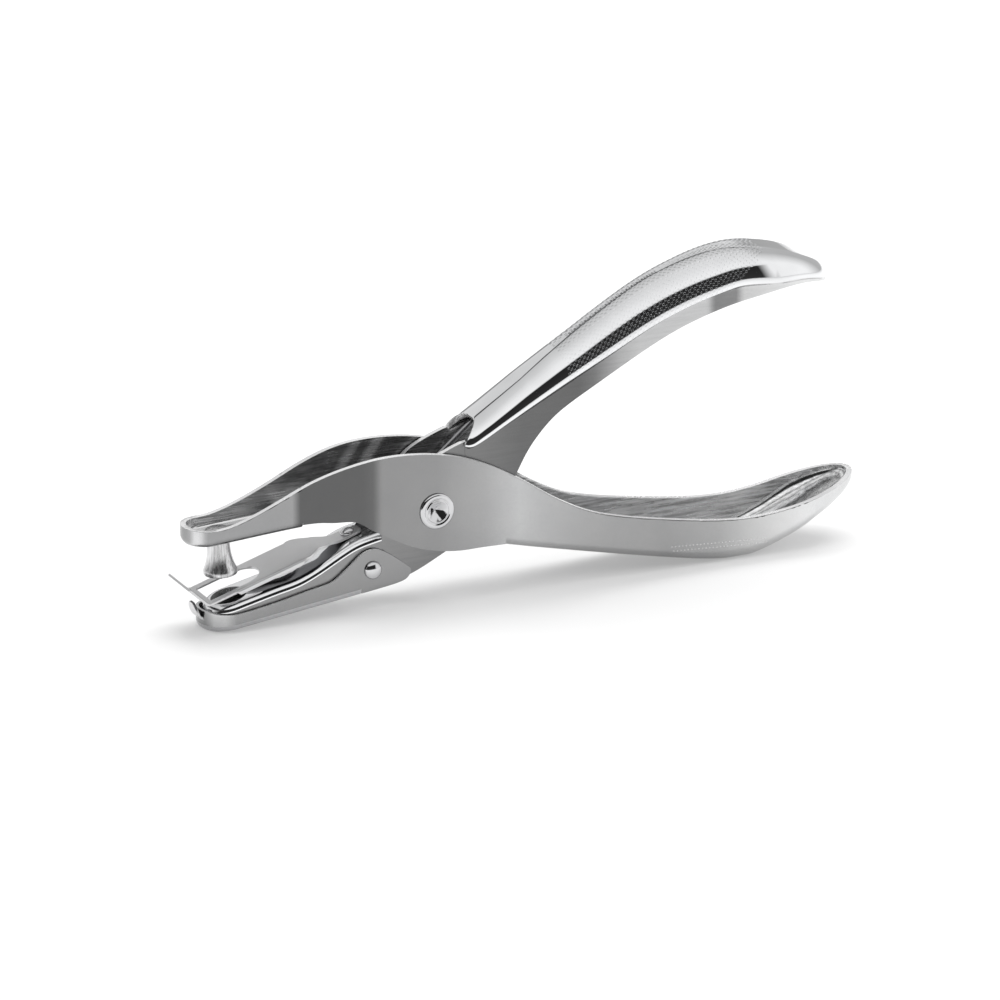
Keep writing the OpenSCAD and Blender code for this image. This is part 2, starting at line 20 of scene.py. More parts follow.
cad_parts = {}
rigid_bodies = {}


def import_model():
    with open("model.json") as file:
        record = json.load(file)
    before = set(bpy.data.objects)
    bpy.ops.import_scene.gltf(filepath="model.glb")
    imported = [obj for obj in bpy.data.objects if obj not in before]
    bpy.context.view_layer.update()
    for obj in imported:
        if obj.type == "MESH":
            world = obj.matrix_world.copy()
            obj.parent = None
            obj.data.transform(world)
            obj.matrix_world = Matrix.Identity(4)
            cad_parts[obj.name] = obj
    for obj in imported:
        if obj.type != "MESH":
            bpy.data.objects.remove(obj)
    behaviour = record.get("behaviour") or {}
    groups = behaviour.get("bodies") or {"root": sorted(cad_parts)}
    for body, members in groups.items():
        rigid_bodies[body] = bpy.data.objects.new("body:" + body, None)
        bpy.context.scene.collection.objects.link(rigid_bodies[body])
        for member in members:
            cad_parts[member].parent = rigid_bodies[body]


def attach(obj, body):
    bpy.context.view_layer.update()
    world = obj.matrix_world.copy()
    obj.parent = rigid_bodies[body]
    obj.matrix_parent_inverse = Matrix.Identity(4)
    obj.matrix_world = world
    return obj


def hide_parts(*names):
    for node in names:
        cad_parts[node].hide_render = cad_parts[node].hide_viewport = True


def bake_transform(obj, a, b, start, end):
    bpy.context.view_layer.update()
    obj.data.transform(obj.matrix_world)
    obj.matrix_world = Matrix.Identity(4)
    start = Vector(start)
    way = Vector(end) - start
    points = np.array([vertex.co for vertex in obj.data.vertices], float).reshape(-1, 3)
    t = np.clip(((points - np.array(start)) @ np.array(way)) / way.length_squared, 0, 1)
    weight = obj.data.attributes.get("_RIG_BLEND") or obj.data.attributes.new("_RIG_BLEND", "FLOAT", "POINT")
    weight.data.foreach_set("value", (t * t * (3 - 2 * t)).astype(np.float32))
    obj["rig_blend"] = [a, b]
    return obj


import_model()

LOG = logging.getLogger("hand_punch")
MM = 0.001
PIVOT = Vector((-0.0182133, 0.0, 0.01735))
ACROSS = Vector((0, 1, 0))
TRAY_HINGE = Vector((-12.0, 0, -9.4))
PHOTO_SIDE = 1000
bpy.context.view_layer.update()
TABLE = -17.35  # the height that the punch lies on
CUT = 0.02  # from the end of a web to the first section without one
ZONE_HEIGHT = 8.0  # where the slanted painted reflections are placed, above the pivot
SHARP = 50.0  # faces that meet at more degrees than this have a sharp edge
NEAR = 2e-6  # metres within which two corners are one
SIDES = 96  # of a turned piece and of a drill
SLOTS = 7  # a sheet's skin, inside and edge, the same again for its crown, and its broken edges

# Places of features in the photograph's frame, in pixels
IMAGE_POINTS: dict[str, tuple[float | None, float | None]] = {
    "object_left": (168.7, None),
    "object_right": (852.0, None),
    "object_top": (None, 239.5),
    "object_bottom": (None, 632.0),
    "pivot_rivet": (436.7, 510.8),
    "tray_rivet": (374.0, 570.5),
    "stripper_rivet": (347.0, 529.0),
    "dot_row_start": (672.0, 547.0),
    "dot_row_end": (765.0, 538.0),
}

Pairs = Sequence[tuple[float, float]]
Curve = Callable[[float], float]
Object = bpy.types.Object
Socket = bpy.types.NodeSocket


class Outline:
    """A smooth curve over x through given points, with its bends eased."""

    step: ClassVar[float] = 0.05

    def __init__(self, points: Pairs, ease: float = 1.2) -> None:
        """Samples the curve.

        Args:
            points: (x, value) pairs with x rising.
            ease: How far a change of bend is spread, in millimetres.
        """
        x, y = (np.array(column, float) for column in zip(*points))
        slope = np.empty_like(y)
        slope[1:-1] = (y[2:] - y[:-2]) / (x[2:] - x[:-2])
        slope[0] = (y[1] - y[0]) / (x[1] - x[0])
        slope[-1] = (y[-1] - y[-2]) / (x[-1] - x[-2])
        self.at = np.arange(x[0], x[-1] + self.step / 2, self.step)
        i = np.clip(np.searchsorted(x, self.at, side="right") - 1, 0, len(x) - 2)
        h = x[i + 1] - x[i]
        u = np.clip((self.at - x[i]) / h, 0, 1)
        self.value = (
            (2 * u**3 - 3 * u**2 + 1) * y[i]
            + (u**3 - 2 * u**2 + u) * h * slope[i]
            + (3 * u**2 - 2 * u**3) * y[i + 1]
            + (u**3 - u**2) * h * slope[i + 1]
        )
        if ease > 0:
            reach = int(3 * ease / self.step)
            weight = np.exp(-0.5 * (np.arange(-reach, reach + 1) * self.step / ease) ** 2)
            ends = np.pad(self.value, reach, mode="reflect", reflect_type="odd")
            self.value = np.convolve(ends, weight / weight.sum(), mode="valid")

    def __call__(self, x: float) -> float:
        """Returns the curve's value at x; outside its points the ends hold."""
        return float(np.interp(x, self.at, self.value))

    def slope(self, x: float) -> float:
        """Returns the curve's slope at x."""
        return (self(x + self.step) - self(x - self.step)) / (2 * self.step)


def eased(share: float) -> float:
    """Returns a share from 0 to 1 with its ends rounded off."""
    share = min(max(share, 0.0), 1.0)
    return share * share * (3 - 2 * share)


def spread(first: float, last: float, step: float) -> list[float]:
    """Returns even values from first to last, about step apart."""
    count = max(1, round(abs(last - first) / step))
    return [first + (last - first) * k / count for k in range(count + 1)]


def place(x: float, y: float, z: float) -> Vector:
    """Returns a place given in millimetres from the pivot, in the part's frame."""
    return Vector((x, y, z)) * MM + PIVOT


def seated(x: float, y: float, z: float, degrees: float, axis: str = "Y") -> Matrix:
    """Returns a seat at a place, turned from +Z about one axis of the frame."""
    return Matrix.Translation(place(x, y, z)) @ Matrix.Rotation(math.radians(degrees), 4, axis)


# ---------------------------------------------------------------- finishes


class Tree:
    """The node tree of a material or of the world, filled anew."""

    def __init__(self, owner: bpy.types.Material | bpy.types.World) -> None:
        """Empties the owner's tree."""
        owner.use_nodes = True
        self.tree = owner.node_tree
        self.tree.nodes.clear()

    def add(self, kind: str, inputs: dict | None = None, **settings: object) -> bpy.types.Node:
        """Adds a node.

        Args:
            kind: Its type, without ShaderNode.
            inputs: A socket or a plain value for each input, by name or number.
            **settings: Its settings.

        Returns:
            The node.
        """
        node = self.tree.nodes.new("ShaderNode" + kind)
        for key, value in settings.items():
            setattr(node, key, value)
        for key, value in (inputs or {}).items():
            if isinstance(value, Socket):
                self.tree.links.new(value, node.inputs[key])
            else:
                node.inputs[key].default_value = value
        return node

    def maths(self, operation: str, *values: Socket | float) -> Socket:
        """Adds a maths node and returns its result."""
        return self.add("Math", dict(enumerate(values)), operation=operation).outputs[0]

    def ranged(self, source: Socket, given: tuple, made: tuple = (0.0, 1.0)) -> Socket:
        """Adds a mapping of one range of values to another and returns its result."""
        ends = dict(zip(("From Min", "From Max", "To Min", "To Max"), (*given, *made)))
        return self.add("MapRange", {"Value": source, **ends}).outputs["Result"]

    def noise(self, where: Socket, scale: float, detail: float) -> Socket:
        """Adds a noise of so many waves to the metre and returns its value."""
        values = {"Vector": where, "Scale": scale, "Detail": detail, "Roughness": 0.6}
        return self.add("TexNoise", values).outputs["Fac"]

    def greys(self, source: Socket, stops: Pairs) -> Socket:
        """Adds a ramp of (position, grey) stops and returns its grey."""
        ramp = self.add("ValToRGB", {"Fac": source})
        elements = ramp.color_ramp.elements
        elements[0].position, elements[1].position = stops[0][0], stops[-1][0]
        for position, _ in stops[1:-1]:
            elements.new(position)
        for element, (_, grey) in zip(elements, stops):
            element.color = (grey, grey, grey, 1.0)
        return ramp.outputs["Color"]


class Grain(Enum):
    """How a finish's fine marks run."""

    POLISHED = (1.0, 1.0, 1.0)
    DRAWN = (0.05, 1.0, 1.0)
    WIPED = (1.0, 1.0, 0.08)
    TURNED = (1.0, 1.0, 8.0)


@dataclass(frozen=True)
class Finish:
    """A plated or bare steel surface.

    Its (x, grey) pairs are painted reflections along the tool: dark reflections and
    highlights laid into the colour as greys. bare is the share of the light that it
    scatters instead of reflecting, and slant how far the painted reflections lean
    forward at the foot, from their places at ZONE_HEIGHT.
    """

    name: str
    colour: tuple[float, float, float]
    roughness: float
    grain: Grain
    relief: float = 0.1
    uneven: float = 0.05
    waviness: float = 0.0
    hatch: float = 0.0
    bare: float = 0.0
    slant: float = 0.0
    painted_reflections: tuple[tuple[float, float], ...] = ()

    def material(self) -> bpy.types.Material:
        """Returns the finish as a material, made once, its pattern on Object coordinates."""
        made = bpy.data.materials.get(self.name)
        if made is not None:
            return made
        made = bpy.data.materials.new(self.name)
        tree = Tree(made)
        where = tree.add("TexCoord").outputs["Object"]
        along = tree.add("Mapping", {"Vector": where, "Scale": self.grain.value})
        fine = tree.noise(along.outputs["Vector"], 2200.0, 5.0)
        broad = tree.noise(where, 70.0, 3.0)
        ends = (max(0.02, self.roughness - self.uneven), self.roughness + self.uneven)
        rough = tree.ranged(tree.maths("MULTIPLY", fine, broad), (0.12, 0.4), ends)
        marks = {"Strength": self.relief, "Distance": 0.00004, "Height": fine}
        bump = tree.add("Bump", marks)
        if self.waviness > 0:
            swell = {"Height": tree.noise(where, 160.0, 2.0), "Normal": bump.outputs["Normal"]}
            bump = tree.add("Bump", {"Strength": self.waviness, "Distance": 0.0002, **swell})
        steel = tree.add("BsdfPrincipled", {
            "Metallic": 1.0 - self.bare, "Base Color": self._tone(tree, where, fine, broad),
            "Roughness": rough, "Normal": bump.outputs["Normal"],
        })
        tree.add("OutputMaterial", {"Surface": steel.outputs["BSDF"]})
        return made

    def _tone(self, tree: Tree, where: Socket, fine: Socket, broad: Socket) -> Socket:
        """Adds the plating's colour: its tint, cloudiness and hatching, and its painted reflections.

        Args:
            tree: The material's tree.
            where: The object coordinates.
            fine: The noise of the fine marks.
            broad: The noise of the clouds.

        Returns:
            The colour's socket.
        """
        shade = tree.add("ValToRGB", {"Fac": broad})
        for stop, position, gain in zip(shade.color_ramp.elements, (0.3, 0.7), (0.9, 1.05)):
            stop.position = position
            stop.color = (*[min(1.0, gain * c) for c in self.colour], 1.0)
        level = tree.ranged(fine, (0.38, 0.6), (1 - self.hatch, 1.0))
        # Painted reflections: greys along the tool's x that darken or lighten the colour, leaning by slant
        if self.painted_reflections:
            split = tree.add("SeparateXYZ", {0: where}).outputs
            first, last = self.painted_reflections[0][0], self.painted_reflections[-1][0]
            shift = PIVOT.x - self.slant * (PIVOT.z + ZONE_HEIGHT * MM)
            lean = tree.maths("MULTIPLY_ADD", split["Z"], -self.slant, split["X"])
            share = tree.ranged(lean, (first * MM + shift, last * MM + shift))
            stops = [((x - first) / (last - first), grey) for x, grey in self.painted_reflections]
            level = tree.maths("MULTIPLY", level, tree.greys(share, stops))
        tint = {0: shade.outputs["Color"], "Scale": level}
        return tree.add("VectorMath", tint, operation="SCALE").outputs[0]


BRIGHT = (0.985, 0.99, 1.0)
# Painted reflections on the outer lever's outside: a painted highlight on the jaw's nose, a dark reflection
# where the jaw widens, a lighter band behind the pivot and a lighter handle end
CHEEK_CHROME = Finish(
    "cheek_chrome", BRIGHT, 0.2, Grain.POLISHED, relief=0.05, uneven=0.03, waviness=0.05,
    hatch=0.04,
    painted_reflections=(
        (-47, 0.3), (-45.6, 0.34), (-44.9, 0.75), (-44.2, 0.75), (-43.2, 0.37), (-27, 0.35),
        (-25.6, 0.13), (-14, 0.13), (-12, 0.15), (-10.5, 0.29), (0, 0.31), (9, 0.4), (16, 0.57),
        (22, 0.48), (30, 0.4), (44, 0.36), (54, 0.42), (62, 0.6), (71, 0.8), (84, 0.72),
    ),
)
# Painted reflections on the inner lever's outside: dark round the pivot and the grip's front, lighter on the
# handle, with two dark painted reflections near its end
WALL_CHROME = Finish(
    "wall_chrome", BRIGHT, 0.22, Grain.DRAWN, relief=0.06, uneven=0.05, waviness=0.06, hatch=0.08,
    painted_reflections=(
        (-43, 0.34), (-20, 0.32), (-12, 0.28), (5, 0.22), (12, 0.19), (17, 0.16), (28, 0.15),
        (31, 0.2), (36, 0.44), (40, 0.56), (52.8, 0.58), (54.2, 0.25), (58.2, 0.27), (59.4, 0.6),
        (66, 0.75), (78, 0.8),
    ),
)
CROWN_CHROME = Finish(
    "crown_chrome", (0.86, 0.865, 0.875), 0.05, Grain.POLISHED, relief=0.01, uneven=0.02,
    waviness=0.02,
)
# Painted reflections on the sheets' insides: light at the jaw's nose, darker by the cheeks with two narrow
# painted highlight streaks, lighter towards the handles, all leaning forward at the foot
DRAWN_CHROME = Finish(
    "drawn_chrome", BRIGHT, 0.27, Grain.DRAWN, relief=1.0, uneven=0.1, waviness=0.25, hatch=0.5,
    bare=0.3, slant=0.7,
    painted_reflections=(
        (-50, 0.95), (-33, 1.0), (-27, 0.75), (-23, 0.4), (-14.2, 0.32), (-13.2, 0.9),
        (-12.2, 0.9), (-11.4, 0.3), (-10.0, 0.3), (-9.0, 1.0), (-7.8, 1.0), (-7.0, 0.3),
        (3, 0.35), (14, 0.7), (30, 0.85), (60, 1.0), (100, 1.0),
    ),
)
EDGE_CHROME = Finish(
    "edge_chrome", (0.86, 0.86, 0.865), 0.25, Grain.POLISHED, relief=0.05, bare=0.45
)
BROKEN_EDGE = Finish(
    "broken_edge", (0.8, 0.8, 0.81), 0.07, Grain.POLISHED, relief=0.02, uneven=0.03
)
# Lighter chrome on the tray's lower fold: a painted light band along its bottom edge
TRAY_FOLD_HIGHLIGHT = Finish("tray_fold_painted_highlight", (0.5, 0.5, 0.51), 0.3, Grain.DRAWN, relief=0.05)
# Painted reflections inside the folds: darker about the cheeks, lighter towards the jaw's nose and the
# handle's end
SPOON_CHROME = Finish(
    "spoon_chrome", BRIGHT, 0.15, Grain.DRAWN, relief=0.45, uneven=0.06, waviness=0.2, hatch=0.3,
    painted_reflections=((-47, 0.8), (-34, 0.85), (-20, 0.6), (14, 0.7), (30, 0.8), (60, 1.0), (84, 1.0)),
)
# Near-black underside of the stripper: painted shade for the gap beneath the plate and its hem
UNDERSIDE_SHADE = Finish("strip_underside_painted_shade", (0.1, 0.1, 0.105), 0.3, Grain.DRAWN, relief=0.06)
# Painted reflections on the tray: a painted highlight on its nose, darker along the rest
TRAY_CHROME = Finish(
    "tray_plating", BRIGHT, 0.2, Grain.POLISHED, relief=0.04, waviness=0.1, hatch=0.04,
    painted_reflections=(
        (-44, 0.3), (-42.6, 0.34), (-41.6, 0.62), (-40, 0.62), (-38, 0.38), (-30, 0.34),
        (-4, 0.33),
    ),
)
RIVET_CHROME = Finish("rivet_plating", (0.66, 0.66, 0.67), 0.06, Grain.TURNED, relief=0.06)
PIN_STEEL = Finish(
    "turned_pin_steel", (0.82, 0.82, 0.825), 0.32, Grain.WIPED, relief=0.8, uneven=0.08,
    hatch=0.45,
)
STRIP_STEEL = Finish("satin_strip", (0.72, 0.72, 0.725), 0.34, Grain.DRAWN, relief=0.06)
WIRE_STEEL = Finish("drawn_wire", (0.35, 0.35, 0.36), 0.28, Grain.DRAWN, relief=0.3)


# ---------------------------------------------------------------- mesh work


def choose(obj: Object | None = None) -> None:
    """Selects one object alone and makes it active, or leaves none selected."""
    for other in list(bpy.context.view_layer.objects.selected):
        other.select_set(False)
    if obj is not None:
        obj.select_set(True)
        bpy.context.view_layer.objects.active = obj


def edit(obj: Object, kind: str = "VERT", action: str = "DESELECT") -> None:
    """Opens an object in edit mode.

    Args:
        obj: The mesh object.
        kind: VERT, EDGE or FACE.
        action: DESELECT, or SELECT to select all of it.
    """
    choose(obj)
    bpy.ops.object.mode_set(mode="EDIT")
    bpy.ops.mesh.select_mode(type=kind)
    bpy.ops.mesh.select_all(action=action)


def leave() -> None:
    """Goes back to object mode."""
    bpy.ops.object.mode_set(mode="OBJECT")


def applied(obj: Object, kind: str, **values: object) -> None:
    """Adds a modifier of a kind with the values given, and applies it."""
    choose(obj)
    modifier = obj.modifiers.new(kind.lower(), kind)
    for key, value in values.items():
        setattr(modifier, key, value)
    bpy.ops.object.modifier_apply(modifier=modifier.name)


def merged(obj: Object, threshold: float = NEAR) -> None:
    """Merges doubles nearer than threshold metres and dissolves what has no area."""
    edit(obj, action="SELECT")
    bpy.ops.mesh.remove_doubles(threshold=threshold)
    bpy.ops.mesh.dissolve_degenerate(threshold=threshold)
    leave()


def faced(obj: Object) -> None:
    """Turns a closed mesh's faces outwards."""
    edit(obj, action="SELECT")
    bpy.ops.mesh.normals_make_consistent(inside=False)
    leave()


def flipped(obj: Object) -> None:
    """Turns all of a mesh's faces round."""
    edit(obj, action="SELECT")
    bpy.ops.mesh.flip_normals()
    leave()


def mirrored(obj: Object) -> None:
    """Adds the other half of an open sheet across the middle plane."""
    merged(obj)
    applied(obj, "MIRROR", use_axis=(False, True, False), merge_threshold=NEAR)
    merged(obj)
    faced(obj)


def finish_with(obj: Object, *finishes: Finish, angle: float = SHARP) -> None:
    """Shades an object smooth and plates it, its faces' slots kept.

    Args:
        obj: The mesh object.
        *finishes: A finish for each slot.
        angle: Edges sharper than this, in degrees, stay sharp.
    """
    choose(obj)
    bpy.ops.object.shade_smooth_by_angle(angle=math.radians(angle))
    applied(obj, "WEIGHTED_NORMAL", keep_sharp=True, weight=80)
    slots = obj.data.materials
    for index, each in enumerate(finishes):
        if index < len(slots):
            slots[index] = each.material()
        else:
            slots.append(each.material())


def broken(obj: Object, width: float, segments: int, angle: float = SHARP) -> None:
    """Bevels edges sharper than angle degrees, width in millimetres."""
    applied(
        obj, "BEVEL", width=width * MM, segments=segments, limit_method="ANGLE",
        angle_limit=math.radians(angle),
    )


def cut_by(obj: Object, cutter: Object) -> None:
    """Cuts a closed cutter out of an object and removes the cutter."""
    applied(obj, "BOOLEAN", operation="DIFFERENCE", object=cutter, solver="EXACT")
    bpy.data.objects.remove(cutter)


def drilled(obj: Object, radius: float, at: Vector, axis: Vector, depth: float = 40.0) -> None:
    """Drills a round hole.

    Args:
        obj: The closed piece.
        radius: The hole's radius in millimetres.
        at: A place on its axis, in the part's frame.
        axis: The axis' direction.
        depth: The drill's length in millimetres.
    """
    choose()
    bpy.ops.mesh.primitive_cylinder_add(vertices=SIDES, radius=radius * MM, depth=depth * MM)
    drill = bpy.context.active_object
    for face in drill.data.polygons:
        face.material_index = 2
    for _ in range(3):
        drill.data.materials.append(None)
    turn = axis.to_track_quat("Z", "Y").to_matrix().to_4x4()
    drill.data.transform(Matrix.Translation(at) @ turn)
    cut_by(obj, drill)


def sheet_grid(
    name: str,
    rows: Sequence[Sequence[Vector]],
    gone: Callable[[int, int], bool] = lambda i, j: False,
    slot: Callable[[int, int], int] = lambda i, j: 0,
    pit: Callable[[int, int], bool] = lambda i, j: False,
) -> Object:
    """Shapes a grid primitive row by row and cuts faces out of it.

    Args:
        name: The new object's name.
        rows: The places of each row's points, all rows of one length.
        gone: Says for a face's row and column whether it is cut out.
        slot: Gives the face's finish slot.
        pit: Says whether the face is to be pressed in later.

    Returns:
        The open sheet, at the origin.
    """
    across, down = len(rows[0]), len(rows)
    bpy.ops.mesh.primitive_grid_add(x_subdivisions=across - 1, y_subdivisions=down - 1, size=1)
    obj = bpy.context.active_object
    obj.name = obj.data.name = name
    for _ in range(SLOTS):
        obj.data.materials.append(None)
    flat = np.array([tuple(p) for row in rows for p in row], dtype=np.float32)
    obj.data.vertices.foreach_set("co", flat.ravel())
    edit(obj, "FACE")
    mesh = bmesh.from_edit_mesh(obj.data)
    marks = mesh.faces.layers.int.new("pit")
    for face in mesh.faces:
        row, column = divmod(min(v.index for v in face.verts), across)
        face.select_set(gone(row, column))
        face.material_index = slot(row, column)
        face[marks] = int(pit(row, column))
    bmesh.update_edit_mesh(obj.data)
    bpy.ops.mesh.delete(type="FACE")
    bpy.ops.mesh.select_mode(type="VERT")
    bpy.ops.mesh.select_all(action="SELECT")
    bpy.ops.mesh.delete_loose()
    leave()
    return obj


def turned(name: str, profile: Pairs, axis: Matrix, sides: int = SIDES) -> Object:
    """Turns a profile about an axis, ring by ring.

    Args:
        name: The new object's name.
        profile: (radius, height) of each ring in millimetres, from pole to pole.
        axis: Where the profile's origin and +Z go, in the part's frame.
        sides: How many sides the rings have.

    Returns:
        The closed piece, its place in its mesh.
    """
    rings = [p for p in profile if p[0] > 0]
    radius, height = rings[0]
    choose()
    bpy.ops.mesh.primitive_circle_add(
        vertices=sides, radius=radius * MM, fill_type="TRIFAN", location=(0, 0, height * MM)
    )
    obj = bpy.context.active_object
    bpy.ops.object.transform_apply(location=True)
    obj.name = obj.data.name = name
    edit(obj, "EDGE")
    mesh = bmesh.from_edit_mesh(obj.data)
    for vertex in mesh.verts:
        if vertex.co.xy.length < 1e-7:
            vertex.co.z = profile[0][1] * MM
    for edge in mesh.edges:
        if edge.is_boundary:
            edge.select_set(True)
    bmesh.update_edit_mesh(obj.data)
    for (r0, z0), (r1, z1) in zip(rings, rings[1:]):
        bpy.ops.mesh.extrude_edges_move()
        bpy.ops.transform.translate(value=(0, 0, (z1 - z0) * MM))
        bpy.ops.transform.resize(value=(r1 / r0, r1 / r0, 1), center_override=(0, 0, z1 * MM))
    bpy.ops.mesh.extrude_edges_move()
    bpy.ops.transform.translate(value=(0, 0, (profile[-1][1] - rings[-1][1]) * MM))
    bpy.ops.mesh.select_mode(type="VERT")
    bpy.ops.mesh.merge(type="CENTER")
    leave()
    obj.data.transform(axis)
    faced(obj)
    return obj


def rounded(profile: Pairs, radius: float, steps: int = 3) -> list[tuple[float, float]]:
    """Returns a profile with its inner corners rounded.

    Args:
        profile: (radius, height) points.
        radius: The rounding in millimetres, less where a side is short.
        steps: Points to a corner, less one.

    Returns:
        The rounded profile.
    """
    points = [Vector(p) for p in profile]
    made = [tuple(points[0])]
    for before, here, after in zip(points, points[1:], points[2:]):
        a, b = before - here, after - here
        cut = min(radius, 0.45 * a.length, 0.45 * b.length)
        p, q = here + a.normalized() * cut, here + b.normalized() * cut
        for k in range(steps + 1):
            t = k / steps
            made.append(tuple((1 - t) ** 2 * p + 2 * t * (1 - t) * here + t * t * q))
    made.append(tuple(points[-1]))
    return made


# ---------------------------------------------------------------- pressed sheet


@dataclass
class Station:
    """A point of a pressed channel's plan outline, with its outward normal."""

    x: float
    y: float
    nx: float
    ny: float


@dataclass
class PressedChannel:
    """A channel folded up from a plan outline: two walls, a web and round folds."""

    rim: Curve
    web: Curve
    bend: Curve
    step: Curve
    sheet: float = 1.0
    belly: Curve = lambda x: 0.0
    shoulder: Curve = lambda x: 0.2
    crowned: Callable[[float], bool] = lambda x: False
    lean: Curve = lambda x: 0.0
    trimmed: Curve = lambda x: 0.0
    opened: Callable[[float], bool] = lambda x: False
    wall_columns: int = 6
    step_columns: int = 8
    upper_columns: int = 3
    fold_columns: int = 10
    web_columns: int = 6
    crown_column: int = 0
    shears: tuple[float, ...] = ()
    closed: ClassVar[float] = 0.2  # narrower sections are laid on the middle plane
    fade: ClassVar[float] = 1.5  # the power by which a lean dies out down the wall

    def section(self, s: Station) -> list[Vector]:
        """Returns half of the outer skin's section at a station, from rim to centre line.

        Args:
            s: The station.

        Returns:
            Places in millimetres from the pivot.
        """
        lean = self.lean(s.x)
        rim, web = self.rim(s.x), self.web(s.x + lean)
        side = 1.0 if rim > web else -1.0
        height = abs(rim - web)
        step, belly = self.step(s.x), self.belly(s.x)
        room = height - step
        # A shoulder and a fold stay within the height that the wall has for them
        rise = min(self.shoulder(s.x), 0.3 * step, 0.5 * room)
        bend = min(self.bend(s.x), 0.9 * room, 0.95 * (s.y / max(s.ny, 0.01) + belly))
        tall = room - rise / 2 if self.crowned(s.x) else bend
        depths = [
            (0.0, (step - rise / 2) * k / self.wall_columns) for k in range(self.wall_columns)
        ]
        for k in range(self.step_columns):
            u = k / self.step_columns
            depths.append((belly * eased(u), step + rise * (u - 0.5)))
        for k in range(self.upper_columns + 1):
            u = k / self.upper_columns
            depths.append((belly, (step + rise / 2) * (1 - u) + (height - tall) * u))
        wall_lean = lean
        if self.opened(s.x):
            cut = abs(rim - self.trimmed(s.x))
            depths = [(0.0, cut * k / (len(depths) - 1)) for k in range(len(depths))]
            wall_lean = 0.0
        made = []
        for out, depth in depths:
            back = wall_lean * max(0.0, (depth - step) / room) ** self.fade
            made.append(Vector((s.x + out * s.nx + back, s.y + out * s.ny, rim - side * depth)))
        for k in range(1, self.fold_columns + 1):
            a = math.pi / 2 * k / self.fold_columns
            out = belly - bend * (1 - math.cos(a))
            drop = tall * (1 - math.sin(a))
            back = lean * (1 - drop / room) ** self.fade
            x = s.x + out * s.nx + back
            made.append(Vector((x, s.y + out * s.ny, self.web(x + lean - back) + side * drop)))
        end = made[-1].copy()
        for k in range(1, self.web_columns + 1):
            made.append(Vector((end.x, end.y * (1 - k / self.web_columns), end.z)))
        return made

    def skin(
        self,
        name: str,
        stations: Sequence[Station],
        pit: Callable[[Vector, int, int], bool] = lambda spot, row, column: False,
    ) -> Object:
        """Makes the outer skin of both halves.

        Args:
            name: The new object's name.
            stations: The plan outline, from the front to the rear.
            pit: Says for a face's place, row and column whether it is pressed in later.

        Returns:
            The open skin.
        """
        rows = [self.section(s) for s in stations]
        for row, station in zip(rows, stations):
            if station.y < self.closed:
                for p in row:
                    p.y = 0.0
        cut = [self.opened(s.x) for s in stations]
        foot = self.wall_columns + self.step_columns + self.upper_columns
        crown = [self.crown_column if self.crowned(s.x) else foot for s in stations]
        obj = sheet_grid(
            name,
            [[place(*p) for p in row] for row in rows],
            lambda i, j: j >= foot and (cut[i] or cut[i + 1]),
            lambda i, j: 3 if not cut[i] and j >= crown[i] else 0,
            lambda i, j: pit(rows[i][j], i, j),
        )
        mirrored(obj)
        return obj

    def thicken(self, obj: Object, edge: float = 0.25) -> None:
        """Gives the skin its thickness inwards and breaks its sharp edges.

        Args:
            obj: The skin.
            edge: How far the edges are broken, in millimetres.
        """
        widest = max(obj.data.polygons, key=lambda f: abs(f.normal.y) * f.area)
        if widest.normal.y * widest.center.y < 0:
            flipped(obj)
        applied(
            obj, "SOLIDIFY", thickness=self.sheet * MM, offset=-1.0, use_even_offset=False,
            use_quality_normals=True, material_offset=1, material_offset_rim=2,
        )
        edit(obj, "EDGE")
        mesh = bmesh.from_edit_mesh(obj.data)
        weights = mesh.edges.layers.float
        weight = weights.get("bevel_weight_edge") or weights.new("bevel_weight_edge")
        shears = [PIVOT.x + x * MM for x in self.shears]
        for line in mesh.edges:
            sharp = len(line.link_faces) == 2 and line.calc_face_angle() > math.radians(SHARP)
            middle = (line.verts[0].co.x + line.verts[1].co.x) / 2
            sheared = any(abs(middle - x) < 3 * CUT * MM for x in shears)
            line[weight] = float(sharp and not sheared)
        bmesh.update_edit_mesh(obj.data)
        leave()
        applied(
            obj, "BEVEL", width=edge * MM, segments=3, limit_method="WEIGHT",
            use_clamp_overlap=True, material=SLOTS - 1,
        )
        merged(obj, 1e-6)


def round_end(tip: float, middle: float, half: float, steps: int) -> list[Station]:
    """Returns the stations of a quarter ellipse from a tip to the side.

    Args:
        tip: The tip's x.
        middle: The x where the ellipse meets the side.
        half: The half width there.
        steps: How many steps it has.

    Returns:
        The stations, the tip first.
    """
    reach = tip - middle
    made = []
    for k in range(steps + 1):
        a = max(math.pi / 2 * k / steps, 0.012)
        n = Vector((math.cos(a) / reach, math.sin(a) / half)) * abs(reach)
        n.normalize()
        made.append(Station(middle + reach * math.cos(a), half * math.sin(a), n.x, n.y))
    return made


def side_line(width: Outline, xs: Sequence[float]) -> list[Station]:
    """Returns stations along a side whose half width is a curve of x."""
    made = []
    for x in xs:
        n = Vector((-width.slope(x), 1.0)).normalized()
        made.append(Station(x, width(x), n.x, n.y))
    return made


# ---------------------------------------------------------------- the pieces


@dataclass
class Piece:
    """A part of the punch, with the mesh that shows it."""

    obj: Object | None = None


@dataclass
class JawAxis:
    """The line that the punch pin moves on."""

    reach: float = 39.2
    floor: float = -1.1
    tilt: float = 3.8

    def matrix(self) -> Matrix:
        """Returns the place of the pin's foot, with +Z along the pin."""
        return seated(-self.reach, 0, self.floor, -self.tilt)


